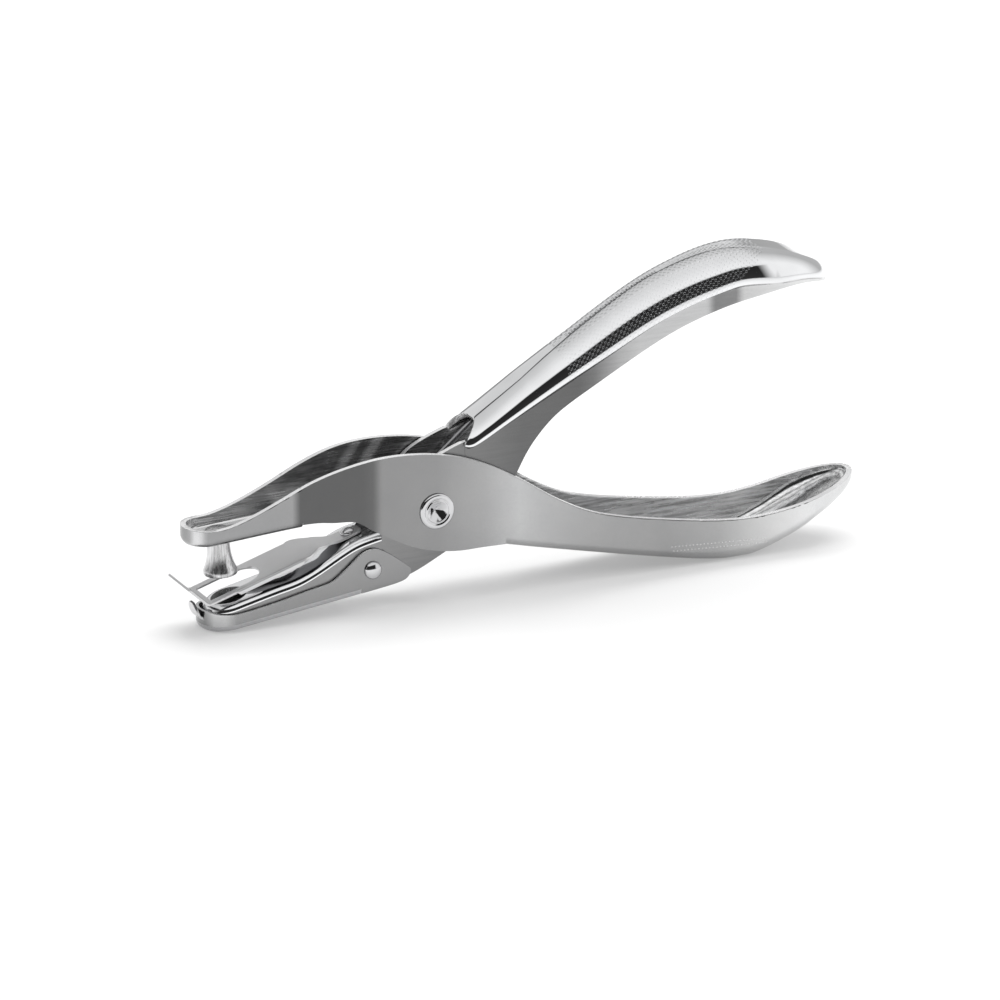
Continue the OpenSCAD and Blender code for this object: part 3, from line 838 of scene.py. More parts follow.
@dataclass
class OuterLever(Piece):
    """Upper jaw, outer cheeks and lower handle, folded from one sheet."""

    reach: float = 46.0
    nose: float = 4.65
    rear: float = 83.13
    grip_mid: float = 70.2
    half: float = 7.3
    web_rear: float = -25.0
    grip_front: float = 13.4
    fold: float = 1.7
    spoon: tuple[float, float] = (50.0, 16.0)  # from where its fold grows, and in what length by 1
    foot_share: float = 0.2
    drill: float = 5.0
    pivot_hole: float = 2.15
    tenon_hole: float = 1.65
    axis: JawAxis = field(default_factory=JawAxis)

    rim: ClassVar[Outline] = Outline(
        [(-46, 2), (-40, 1.9), (-35.3, 3.1), (-29.5, 5.4), (-22, 8.7), (-14.6, 10.7), (-7.5, 11.2),
         (0.6, 10.3), (8.3, 7.9), (16, 3.7), (23.8, -1.5), (31.5, -5.1), (46.5, -8.3), (58, -9.8),
         (66, -9.5), (74, -8), (83.2, -5.7)]
    )
    width: ClassVar[Outline] = Outline(
        [(-41.4, 4.65), (-26, 4.65), (-20, 5.25), (-14, 5.85), (20, 5.85), (31, 6.2), (44, 6.8),
         (58.2, 7.2), (70.2, 7.3)]
    )
    floor: ClassVar[Outline] = Outline(
        [(13, -8.5), (20.4, -10.3), (35.5, -13.6), (50.7, -16.6), (56, TABLE), (58.5, TABLE),
         (61, TABLE), (66.3, -15.9), (70.2, -14.4), (74.4, -12.4), (78.9, -9.9), (83.2, -7.6)],
        ease=0.8,
    )
    cheek: ClassVar[Outline] = Outline(
        [(-25, 0.7), (-21.8, 0.7), (-19.4, 0.4), (-16.4, 0.3), (-14.8, -0.1), (-12.7, -1.6),
         (-6.9, -4.9), (-3.1, -6.6), (0.8, -7.6), (4.6, -8.1), (8.5, -8.1), (13.4, -8.2)],
        ease=0.6,
    )

    def _web(self, x: float) -> float:
        """Returns the height of the floor's underside at x."""
        if x < 0:
            return self.axis.floor + (x + self.axis.reach) * math.tan(math.radians(self.axis.tilt))
        return max(self.floor(x), TABLE)

    def build(self) -> None:
        """Folds the sheet, gives it its thickness and drills it."""
        press = PressedChannel(
            rim=self.rim, web=self._web,
            bend=lambda x: self.fold + max(0.0, (x - self.spoon[0]) / self.spoon[1]),
            step=lambda x: self.foot_share * abs(self.rim(x) - self._web(x)), trimmed=self.cheek,
            opened=lambda x: self.web_rear < x < self.grip_front, wall_columns=4,
            step_columns=2, upper_columns=5, web_columns=8,
            shears=(self.web_rear, self.grip_front),
        )
        xs = (
            spread(-self.reach + self.nose + 0.5, self.web_rear, 0.8)
            + spread(self.web_rear + CUT, self.grip_front - CUT, 0.9)
            + spread(self.grip_front, self.grip_mid - 0.4, 0.6)
        )
        stations = (
            round_end(-self.reach, -self.reach + self.nose, self.nose, 16)
            + side_line(self.width, xs)
            + round_end(self.rear, self.grip_mid, self.half, 26)[::-1]
        )
        self.obj = press.skin("outer_lever_shell", stations)
        press.thicken(self.obj)
        drilled(self.obj, self.pivot_hole, PIVOT, ACROSS)
        pin = self.axis.matrix()
        drilled(self.obj, self.tenon_hole, pin.translation, pin.col[2].to_3d(), self.drill)

    def dress(self) -> None:
        """Plates the lever and ties it to its body."""
        finish_with(
            self.obj, CHEEK_CHROME, DRAWN_CHROME, EDGE_CHROME, CHEEK_CHROME, SPOON_CHROME,
            EDGE_CHROME, BROKEN_EDGE,
        )
        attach(self.obj, "outer_body")
        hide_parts("outer_lever")


def jaw_foot(x: float) -> float:
    """Returns the height of the tray's underside at x, flat under the jaws' tip."""
    return TABLE + max(0.0, x + 41.2) * math.tan(math.radians(7.3))


@dataclass
class InnerLever(Piece):
    """Lower jaw with the die, inner cheeks and upper handle, folded from one sheet."""

    half: float = 4.65
    nose_x: float = -37.3
    die_rear: float = -10.0
    roof_front: float = 6.0
    tip: float = 77.7
    tip_mid: float = 66.0
    tip_half: float = 7.0
    drill: float = 6.0  # long enough for one wall and too short for two
    pivot_hole: float = 2.15
    tray_hole: float = 1.05
    strip_hole: float = 0.8
    die_hole: float = 3.25
    die_tilt: float = 13.0
    stipple: tuple[float, float] = (25.0, 65.5)
    roof_lap: float = 0.8
    roof_lean: float = 3.0
    lean_reach: float = 12.0
    jaw_bend: float = 1.3
    jaw_step: float = 0.4
    jaw_rise: float = 0.9  # of the jaw's free edge over the tray's underside
    rim_turn: tuple[float, float] = (-9.0, -7.0)
    crown_bend: float = 5.9
    crown_column: int = 13
    fold_columns: int = 17
    pit_step: float = 0.5
    pit_end: tuple[float, float] = (1.5, 8.5)  # how far short of its end on top, and more below
    pit_edge: float = 0.1
    pit_slope: float = 0.04
    pit_depth: float = 0.05

    die_top: ClassVar[Outline] = Outline(
        [(-41.95, -13.2), (-37.3, -12.05), (-30, -10.35), (-25.6, -9.4), (-21.8, -7.8),
         (-18, -5.8), (-14.6, -4.2), (-10, -3.2)], ease=0.8
    )
    roof_top: ClassVar[Outline] = Outline(
        [(4, 11.4), (9, 14.5), (24.5, 24.7), (39.9, 33.95), (49.2, 37.7), (58.5, 39.45),
         (67.8, 38), (74, 35.5), (77.7, 33.3)], ease=1.6
    )
    edge: ClassVar[Outline] = Outline(
        [(-8, -12.28), (-4.2, -11.4), (2.1, -8.4), (8, -5.2), (12, -2), (14.8, 2), (17.8, 7.7),
         (20.9, 11.6), (23.9, 14.3), (30.1, 17.9), (45.6, 25.9), (58, 30), (66, 32.1), (72, 32.3),
         (77.7, 30.8)], ease=0.9
    )
    roof_step: ClassVar[Outline] = Outline(
        [(4.5, 11.4), (5.4, 10.8), (6.8, 10.3), (8.9, 11.1), (12.7, 13.1), (20.4, 17.1), (32, 23),
         (45, 29.4), (58, 33.2), (66, 33.2), (72, 32.9), (77.7, 31.2)], ease=0.5
    )
    width: ClassVar[Outline] = Outline(
        [(-38, 4.65), (50, 4.65), (57.5, 5.05), (60.5, 5.95), (62.8, 6.65), (64.6, 7), (67, 7)],
        ease=1.5,
    )
    belly: ClassVar[Outline] = Outline(
        [(-50, 0.0), (5.7, 0.0), (6.0, 0.05), (6.7, 0.45), (7.6, 0.7), (9, 0.8), (20, 0.95),
         (35, 1.3), (48, 1.8), (56, 1.9), (66, 0), (78, 0)], ease=0.25
    )
    shoulder: ClassVar[Outline] = Outline(
        [(-50, 0.4), (6, 0.5), (11, 0.7), (24, 1.3), (50, 2.1), (58, 2.1), (66, 1.0), (78, 0.4)]
    )
    cheek_top: ClassVar[Outline] = Outline(
        [(-10, -3.4), (-7.4, 0.5), (-5, 4.2), (-2.7, 7.2), (-0.4, 9.0), (3.4, 10.7), (6, 11.6)],
        ease=0.5,
    )

    def _in_grip(self, x: float) -> bool:
        """Says whether x lies behind the front of the handle's roof."""
        return x > self.roof_front - self.roof_lap

    def _rim(self, x: float) -> float:
        """Returns the height of the free edge at x."""
        start, end = self.rim_turn
        share = eased((x - start) / (end - start))
        return (jaw_foot(x) + self.jaw_rise) * (1 - share) + self.edge(x) * share

    def _web(self, x: float) -> float:
        """Returns the height of the web's skin at x."""
        return self.roof_top(x) if self._in_grip(x) else self.die_top(x)

    def _lean(self, x: float) -> float:
        """Returns how far the top of the section at x leans back."""
        if not self._in_grip(x):
            return 0.0
        return self.roof_lean * max(0.0, 1 - (x - self.roof_front) / self.lean_reach)

    def _step(self, x: float) -> float:
        """Returns the height of the wall below the handle's shoulder."""
        if self._in_grip(x):
            return self.roof_step(x) - self._rim(x)
        return self.jaw_step * abs(self._web(x) - self._rim(x))

    def _pitted(self, spot: Vector, row: int, column: int) -> bool:
        """Says whether a face of the skin is one of the crown's small pits.

        Args:
            spot: The face's first corner.
            row: Its row.
            column: Its column.

        Returns:
            True on every other face of the crown, between the two ends of the patch.
        """
        start, end = self.stipple
        top, below = self.pit_end
        up = min(1.0, (column - self.crown_column) / self.fold_columns)
        if column <= self.crown_column or (row + column) % 2:
            return False
        return start < spot.x < end - top - below * (1 - up) ** 1.5

    def _press_pits(self) -> None:
        """Presses the marked faces of the outer skin in, each for itself."""
        edit(self.obj, "FACE")
        mesh = bmesh.from_edit_mesh(self.obj.data)
        marks = mesh.faces.layers.int["pit"]
        for face in mesh.faces:
            face.select_set(face[marks] == 1 and face.material_index == 3)
        bmesh.update_edit_mesh(self.obj.data)
        for width, depth in ((self.pit_edge, 0.0), (self.pit_slope, -self.pit_depth)):
            bpy.ops.mesh.inset(
                thickness=width * MM, depth=depth * MM, use_individual=True,
                use_even_offset=False,
            )
        leave()

    def build(self) -> None:
        """Folds the sheet, gives it its thickness and drills it."""
        press = PressedChannel(
            rim=self._rim, web=self._web, step=self._step, belly=self.belly,
            bend=lambda x: self.crown_bend if self._in_grip(x) else self.jaw_bend,
            shoulder=self.shoulder, crowned=self._in_grip, lean=self._lean, trimmed=self.cheek_top,
            opened=lambda x: self.die_rear < x < self.roof_front, upper_columns=1,
            fold_columns=self.fold_columns, web_columns=3, crown_column=self.crown_column,
            shears=(self.die_rear, self.roof_front),
        )
        start, end = self.stipple
        xs = (
            spread(self.nose_x + 0.6, self.die_rear, 0.8)
            + spread(self.die_rear + CUT, self.roof_front - CUT, 0.7)
            + spread(self.roof_front, self.roof_front + 5, 0.3)
            + spread(self.roof_front + 5.4, start - self.pit_step, 0.6)
            + spread(start, end, self.pit_step)
        )
        stations = (
            round_end(self.nose_x - self.half, self.nose_x, self.half, 16)
            + side_line(self.width, xs)
            + round_end(self.tip, self.tip_mid, self.tip_half, 26)[::-1]
        )
        self.obj = press.skin("inner_lever_shell", stations, self._pitted)
        press.thicken(self.obj)
        self._press_pits()
        die = seated(self.nose_x, 0, self.die_top(self.nose_x), -self.die_tilt)
        seat = StripperSeat().matrix()
        drilled(self.obj, self.pivot_hole, PIVOT, ACROSS)
        drilled(self.obj, self.tray_hole, place(*TRAY_HINGE), ACROSS)
        drilled(self.obj, self.die_hole, die.translation, die.col[2].to_3d(), self.drill)
        drilled(self.obj, self.strip_hole, seat.translation, seat.col[2].to_3d(), self.drill)

    def dress(self) -> None:
        """Plates the lever and ties it to its body."""
        finish_with(
            self.obj, WALL_CHROME, DRAWN_CHROME, EDGE_CHROME, CROWN_CHROME, DRAWN_CHROME,
            EDGE_CHROME, BROKEN_EDGE,
        )
        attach(self.obj, "inner_body")
        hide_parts("inner_lever")


@dataclass
class StripperSeat:
    """The seat of the stripper's rivet on the lower jaw."""

    x: float = -14.6
    z: float = -3.7
    slope: float = 0.325

    def matrix(self) -> Matrix:
        """Returns the rivet's place, with +Z out of the neck."""
        return seated(self.x, 0, self.z, -math.degrees(math.atan(self.slope)))


@dataclass
class ChadTray(Piece):
    """The thin folded cover under the lower jaw, with its lobes and front tab."""

    half: float = 5.3
    nose_x: float = -37.3
    tip: float = -43.1
    rear: float = -14.2
    lobe_end: float = -4.7
    hole: float = 1.05
    sheet: float = 0.5
    fold: float = 1.2
    lip_share: float = 0.3
    tab: Object | None = None

    top: ClassVar[Outline] = Outline(
        [(-43.1, -13.6), (-40, -13.95), (-36.2, -13.75), (-29.5, -12.65), (-24.8, -11.65),
         (-20.4, -10.8), (-19.2, -10.3), (-16.5, -8.2), (-14.2, -6.3), (-12.6, -5.65), (-11, -5.75),
         (-8.6, -7.1), (-5.6, -9.4), (-4.7, -10.2)], ease=0.3
    )
    lobe: ClassVar[Outline] = Outline(
        [(-14.2, -13.5), (-10.4, -13.0), (-6.8, -12.4), (-5.3, -11.8), (-4.7, -10.9)], ease=0.3
    )
    # (x, z, half width) of the tab's rows, x from the tray's tip
    tab_rows: ClassVar[list[tuple[float, float, float]]] = [
        (0.75, -15.3, 1.7), (0.2, -15.0, 1.7), (-0.35, -14.6, 1.7), (-0.65, -14.0, 1.7),
        (-0.85, -13.4, 1.6), (-1.0, -12.85, 1.35), (-1.1, -12.45, 1.0), (-1.15, -12.2, 0.6),
    ]

    def build(self) -> None:
        """Folds the tray, drills its lobes and adds the tab."""
        press = PressedChannel(
            rim=self.top, web=jaw_foot, bend=lambda x: self.fold, sheet=self.sheet,
            step=lambda x: self.lip_share * abs(self.top(x) - jaw_foot(x)), trimmed=self.lobe,
            opened=lambda x: x > self.rear, wall_columns=3, step_columns=2, upper_columns=4,
            fold_columns=8, shears=(self.rear,),
        )
        flat = Outline([(-45, self.half), (0, self.half)], ease=0)
        xs = spread(self.nose_x + 0.6, self.rear, 0.5)
        xs += spread(self.rear + CUT, self.lobe_end, 0.35)
        stations = round_end(self.tip, self.nose_x, self.half, 16) + side_line(flat, xs)
        self.obj = press.skin("chad_tray_shell", stations)
        press.thicken(self.obj, 0.08)
        drilled(self.obj, self.hole, place(*TRAY_HINGE), ACROSS)
        rows = [
            [place(self.tip + x, half * t, z) for t in (-1, -0.75, -0.4, 0, 0.4, 0.75, 1)]
            for x, z, half in self.tab_rows
        ]
        self.tab = sheet_grid("chad_tray_tab", rows)
        applied(self.tab, "SOLIDIFY", thickness=self.sheet * MM, offset=0.0, use_even_offset=True)
        broken(self.tab, 0.12, 3)
        faced(self.tab)

    def dress(self) -> None:
        """Plates the tray and ties it to its body."""
        for obj, skin in ((self.obj, TRAY_CHROME), (self.tab, STRIP_STEEL)):
            finish_with(
                obj, skin, DRAWN_CHROME, EDGE_CHROME, TRAY_FOLD_HIGHLIGHT, DRAWN_CHROME, EDGE_CHROME,
                BROKEN_EDGE,
            )
            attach(obj, "tray_body")
            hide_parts("chad_tray")


@dataclass
class StripperPlate(Piece):
    """The sloped plate that takes the paper off the pin."""

    half: float = 4.6
    neck: float = 1.7
    sheet: float = 0.4
    hem: float = 1.0
    hole: float = 0.8
    slot: tuple[float, float] = (-42.1, -31.7)
    slot_half: float = 3.35
    cutter: tuple[float, float] = (30.0, -9.0)  # the slot cutter's height and middle
    squaring: tuple[float, float] = (1.25, 8.0)  # how fast its front half is pushed out and wide
    lip: tuple[float, float] = (4.78, 43.0)  # its length and its lean in degrees
    front: tuple[float, float] = (-43.0, -11.4)
    rear: float = -21.5
    slope: float = 17.4
    waist: float = 2.6
    narrows: tuple[float, float, float] = (-24.0, -20.5, -18.0)  # from plate to waist to neck
    neck_end: tuple[float, float] = (-13.6, 1.45)  # where its rounding starts, and how long it is
    hem_ends: tuple[float, float] = (-37.6, -24.4)
    hem_fade: float = 0.6

    def _line(self) -> list[tuple[float, float]]:
        """Returns the plate's upper face from the lip's tip back to the neck's end."""
        x, z = self.front
        lean = math.radians(self.lip[1])
        seat = StripperSeat()
        corners = [(x - d * math.cos(lean), z + d * math.sin(lean)) for d in (self.lip[0], 0.35)]
        corners.append((x + 0.25, z))
        corners.append((self.rear, z + (self.rear - x) * math.tan(math.radians(self.slope))))
        corners += [(at, seat.z + (at - seat.x) * seat.slope) for at in (-17.0, -12.4)]
        return rounded(corners, 1.0, 6)

    def _half_width(self, x: float) -> float:
        """Returns the plate's half width at x."""
        end, length = self.neck_end
        if x > end:
            return max(0.5, math.sqrt(max(0.0, 1 - ((x - end) / length) ** 2)) * self.neck)
        front, middle, rear = self.narrows
        if x < middle:
            share = eased((x - front) / (middle - front))
            return self.half * (1 - share) + self.waist * share
        share = eased((x - middle) / (rear - middle))
        return self.waist * (1 - share) + self.neck * share

    def _row(self, x: float, z: float) -> list[Vector]:
        """Returns half of the plate's section at a place on its line, its hem last."""
        half = self._half_width(x)
        front, rear = self.hem_ends
        hem = self.hem * eased((x - front) / self.hem_fade) * eased((rear - x) / self.hem_fade)
        bend = min(0.35, hem * 0.5)
        row = [place(x, half * t / 8, z) for t in range(8)]
        for k in range(5):
            a = math.pi / 8 * k
            row.append(place(x, half - bend * (1 - math.sin(a)), z - bend * (1 - math.cos(a))))
        row.append(place(x, half, z - max(hem, bend)))
        return row

    def build(self) -> None:
        """Shapes the plate, its lip, hems and neck, and cuts the slot."""
        line = self._line()
        rows = []
        for (x0, z0), (x1, z1) in zip(line, line[1:]):
            count = max(1, int(math.dist((x0, z0), (x1, z1)) / 0.5))
            for k in range(count):
                rows.append(self._row(x0 + (x1 - x0) * k / count, z0 + (z1 - z0) * k / count))
        rows.append(self._row(*line[-1]))
        self.obj = sheet_grid("stripper_plate_shell", rows)
        mirrored(self.obj)
        if sum(f.normal.z * f.area for f in self.obj.data.polygons) < 0:
            flipped(self.obj)
        applied(
            self.obj, "SOLIDIFY", thickness=self.sheet * MM, offset=-1.0, use_even_offset=True,
            material_offset=1,
        )
        self._cut_slot()
        seat = StripperSeat().matrix()
        drilled(self.obj, self.hole, seat.translation, seat.col[2].to_3d(), 6.0)
        broken(self.obj, 0.07, 2, 60)

    def _cut_slot(self) -> None:
        """Cuts the slot that the pin passes through: square in front, round behind."""
        front, rear = self.slot
        height, middle = self.cutter
        push, widen = self.squaring
        radius = self.slot_half * MM
        centre = rear - self.slot_half
        choose()
        bpy.ops.mesh.primitive_cylinder_add(vertices=128, radius=radius, depth=height * MM)
        cutter = bpy.context.active_object
        for vertex in cutter.data.vertices:
            if vertex.co.x < 0:
                side = 1 if vertex.co.y > 0 else -1
                share = -vertex.co.x / radius
                vertex.co.x = (front - centre) * MM * min(1.0, push * share)
                vertex.co.y = side * min(radius, abs(vertex.co.y) * (1 + widen * share))
        cutter.data.transform(Matrix.Translation(place(centre, 0, middle)))
        cut_by(self.obj, cutter)

    def dress(self) -> None:
        """Finishes the plate and ties it to its body."""
        finish_with(self.obj, *(STRIP_STEEL, UNDERSIDE_SHADE, STRIP_STEEL) * 2, STRIP_STEEL)
        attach(self.obj, "inner_body")
        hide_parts("stripper_plate")


@dataclass
class PunchPin(Piece):
    """The turned pin: riveted head, tenon, waist, flare and hollow ground end."""

    length: float = 6.5
    radius: float = 3.0
    waist: float = 2.05
    tenon: float = 1.6
    head: float = 2.4
    land: float = 0.7
    flare: float = 4.2
    hollow: float = 0.5
    axis: JawAxis = field(default_factory=JawAxis)

    def build(self) -> None:
        """Turns the pin."""
        foot = -self.length
        profile = rounded(
            [(0, 1.9), (self.head - 0.5, 1.8), (self.head, 1.4), (self.head, 1.05),
             (self.tenon, 1.05), (self.tenon, -0.05), (self.waist, -0.05),
             (self.waist, foot + self.land + self.flare)], 0.15
        )
        for k in range(1, 15):
            u = k / 14
            profile.append((
                self.waist + (self.radius - self.waist) * u**2,
                foot + self.land + self.flare * (1 - u),
            ))
        profile += [(self.radius, foot + 0.06), (self.radius - 0.05, foot)]
        for r in (2.7, 2.2, 1.6, 1.0, 0.5, 0.0):
            profile.append((r, foot + self.hollow * (1 - (r / (self.radius - 0.3)) ** 2)))
        self.obj = turned("punch_pin_turned", profile, self.axis.matrix())

    def dress(self) -> None:
        """Finishes the pin and ties it to its body."""
        finish_with(self.obj, PIN_STEEL)
        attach(self.obj, "outer_body")
        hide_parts("punch_pin")


@dataclass
class Rivets:
    """The pivot rivet, the stripper's rivet and the two that the tray turns on."""

    seat: float = 5.9
    head: float = 3.25
    dish: float = 2.1
    shank: float = 2.1
    struck: float = 0.28
    tray_seat: float = 5.35
    pivot: Object | None = None
    strip: Object | None = None
    tray: list[Object] = field(default_factory=list)

    @staticmethod
    def _dome(width: float, shank: float, grip: float) -> list[tuple[float, float]]:
        """Returns a dome rivet's profile, its dome above z = 0.

        Args:
            width: The dome's diameter.
            shank: The shank's radius.
            grip: The shank's length.

        Returns:
            (radius, height) pairs.
        """
        turns = [math.radians(7.5 * k) for k in range(13)]
        return [(width / 2 * math.sin(a), 0.3 * width * math.cos(a)) for a in turns] + [
            (width / 2, 0.02), (shank, 0.0), (shank, -grip), (shank + 0.45, -grip - 0.02),
            (shank + 0.35, -grip - 0.4), (0, -grip - 0.55),
        ]

    def build(self) -> None:
        """Turns all four rivets."""
        top, dish, head = self.seat + 0.6, self.dish, self.head
        profile = rounded(
            [(0, top - 1.3), (0.4, top - 1.1), (0.8, top - 0.85), (1.2, top - 0.55),
             (dish - 0.45, top - 0.2), (dish - 0.15, top), (dish + 0.15, top - 0.25),
             (dish + 0.45, top - 0.05), (head - 0.25, top - 0.1), (head, top - 0.3),
             (head, self.seat), (self.shank, self.seat), (self.shank, -self.seat),
             (head, -self.seat), (head, -top + 0.3), (head - 0.6, -top + 0.05), (0, -top)],
            0.12, 4,
        )
        self.pivot = turned("pivot_rivet_turned", profile, Matrix.Identity(4), 128)
        for vertex in self.pivot.data.vertices:
            radius = vertex.co.xy.length / MM
            if vertex.co.z > 0 and radius < dish - 0.4:
                turn = math.atan2(vertex.co.y, vertex.co.x)
                rise = self.struck * radius * (1 - radius / (dish - 0.4))
                vertex.co.z += rise * abs(math.sin(2.5 * turn)) * MM
        self.pivot.data.transform(seated(0, 0, 0, 90, "X"))
        seat = StripperSeat().matrix() @ Matrix.Translation((0, 0, 0.05 * MM))
        self.strip = turned("stripper_rivet_turned", self._dome(2.6, 0.75, 1.7), seat)
        for name, side in (("tray_rivet_near", -1), ("tray_rivet_far", 1)):
            at = seated(TRAY_HINGE.x, side * self.tray_seat, TRAY_HINGE.z, -90 * side, "X")
            self.tray.append(turned(name, self._dome(3.3, 1.0, 1.75), at))

    def dress(self) -> None:
        """Plates the rivets and ties them to their bodies."""
        for obj, body, node in (
            (self.pivot, "outer_body", "pivot_rivet"),
            (self.strip, "inner_body", "stripper_rivet"),
            (self.tray[0], "inner_body", "tray_rivets"),
            (self.tray[1], "inner_body", "tray_rivets"),
        ):
            finish_with(obj, RIVET_CHROME, angle=40)
            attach(obj, body)
            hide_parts(node)


@dataclass
class ReturnSpring(Piece):
    """The wire spring coiled round the pivot between the inner cheeks."""

    wire: float = 1.1
    coil: float = 2.9
    half: float = 2.44
    turns: int = 4
    lower: tuple[float, float] = (16.0, -7.55)
    upper: tuple[float, float] = (12.5, 14.2)

    def _leg(self, end: tuple[float, float], turn: int) -> float:
        """Returns the direction of the straight leg that leaves the coil for an end."""
        return math.atan2(end[1], end[0]) + turn * math.asin(self.coil / math.hypot(*end))

    def build(self) -> None:
        """Winds the wire."""
        start = self._leg(self.lower, 1) - math.pi / 2
        stop = self._leg(self.upper, -1) + math.pi / 2 - 2 * math.pi * (self.turns + 1)
        steps = 40 * self.turns
        path = [place(self.lower[0], -self.half, self.lower[1])]
        for k in range(steps + 1):
            a = start + (stop - start) * k / steps
            y = -self.half + 2 * self.half * k / steps
            path.append(place(self.coil * math.cos(a), y, self.coil * math.sin(a)))
        path.append(place(self.upper[0], self.half, self.upper[1]))
        line = bpy.data.curves.new("return_spring_line", "CURVE")
        line.dimensions = "3D"
        line.bevel_depth = self.wire / 2 * MM
        line.bevel_resolution = 4
        line.use_fill_caps = True
        spline = line.splines.new("POLY")
        spline.points.add(len(path) - 1)
        for at, spot in zip(spline.points, path):
            at.co = (*spot, 1.0)
        self.obj = bpy.data.objects.new("return_spring_wound", line)
        bpy.context.collection.objects.link(self.obj)
        choose(self.obj)
        bpy.ops.object.convert(target="MESH")
        self.obj = bpy.context.active_object
        merged(self.obj, 1e-7)
        faced(self.obj)

    def dress(self) -> None:
        """Finishes the wire and blends it from one lever to the other along its upper leg."""
        finish_with(self.obj, WIRE_STEEL)
        leg = Vector((self.upper[0], 0, self.upper[1])).normalized()
        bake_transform(self.obj, "outer_body", "inner_body", start=place(*leg * 6), end=place(*leg * 17))
        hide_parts("torsion_spring")


# ---------------------------------------------------------------- camera and light


@dataclass
class PhotoCamera(Piece):
    """The camera that matches the photograph."""

    azimuth: float = -24.4
    elevation: float = 19.75
    distance: float = 2.5
    lens: float = 512.6
    sensor: float = 36.0
    aim: tuple[float, float] = (13.52, 0.1)

    def build(self) -> None:
        """Sets the camera up."""
        a, e = math.radians(self.azimuth), math.radians(self.elevation)
        back = Vector((math.sin(a) * math.cos(e), -math.cos(a) * math.cos(e), math.sin(e)))
        right = Vector((math.cos(a), math.sin(a), 0))
        up = back.cross(right)
        target = PIVOT + (self.aim[0] * right + self.aim[1] * up) * MM
        bpy.ops.object.camera_add(location=target + back * self.distance)
        self.obj = bpy.context.active_object
        self.obj.name = "photo_camera"
        self.obj.rotation_euler = Matrix((right, up, back)).transposed().to_euler()
        data = self.obj.data
        data.sensor_fit = "AUTO"
        data.sensor_width = self.sensor
        data.lens = self.lens
        data.clip_end = 50.0
        bpy.context.scene.camera = self.obj
        bpy.context.view_layer.update()

    @property
    def reach(self) -> float:
        """Returns the distance of the image plane in pixels."""
        return PHOTO_SIDE * self.lens / self.sensor

    def shown(self, spot: Vector) -> tuple[float, float]:
        """Returns the pixel at which a place shows."""
        seen = self.obj.matrix_world.inverted() @ spot
        scale = self.reach / -seen.z
        return PHOTO_SIDE / 2 + seen.x * scale, PHOTO_SIDE / 2 - seen.y * scale

    def on_surface(self, name: str, tree: BVHTree) -> Vector:
        """Returns where an image point meets a surface; after a miss, the place nearest the ray."""
        x, y = IMAGE_POINTS[name]
        ray = Vector((x - PHOTO_SIDE / 2, PHOTO_SIDE / 2 - y, -self.reach))
        direction = (self.obj.matrix_world.to_3x3() @ ray).normalized()
        origin = self.obj.matrix_world.translation
        spot = tree.ray_cast(origin, direction)[0]
        if spot is None:
            guess = origin + direction * self.distance
            for _ in range(8):
                spot = tree.find_nearest(guess)[0]
                guess = origin + direction * (spot - origin).dot(direction)
        return spot


@dataclass
class DotRows(Piece):
    """The two rows of small raised dots near the foot of the lower handle's wall."""

    count: int = 27
    radius: float = 0.24
    proud: float = 0.04
    below: float = 0.8
    ends: tuple[Vector, Vector] | None = None

    def build(self, camera: PhotoCamera, wall: Object) -> None:
        """Sets the dots on the wall, from one image point to the other.

        Args:
            camera: The camera that the image points belong to.
            wall: The lever's shell.
        """
        tree = BVHTree.FromObject(wall, bpy.context.evaluated_depsgraph_get())
        first, last = (camera.on_surface(f"dot_row_{at}", tree) for at in ("start", "end"))
        self.ends = (first, last)
        choose()
        bpy.ops.mesh.primitive_uv_sphere_add(segments=12, ring_count=8, radius=self.radius * MM)
        dot = bpy.context.active_object
        dots = []
        for row in range(2):
            drop = Vector((0, 0, self.below * row * MM))
            for k in range(self.count):
                guess = first.lerp(last, (k + 0.5 * row) / (self.count - 1)) - drop
                spot, normal, _, _ = tree.find_nearest(guess)
                new = bpy.data.objects.new("grip_dot", dot.data.copy())
                sunk = normal * (self.radius - self.proud) * MM
                new.data.transform(Matrix.Translation(spot - sunk))
                bpy.context.collection.objects.link(new)
                dots.append(new)
        bpy.data.objects.remove(dot)
        for new in dots:
            new.select_set(True)
        bpy.context.view_layer.objects.active = dots[0]
        bpy.ops.object.join()
        self.obj = bpy.context.active_object
        self.obj.name = self.obj.data.name = "grip_dot_rows"

    def dress(self) -> None:
        """Plates the dots and ties them to the lever's body."""
        finish_with(self.obj, EDGE_CHROME, angle=60)
        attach(self.obj, "outer_body")
        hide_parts("outer_lever")


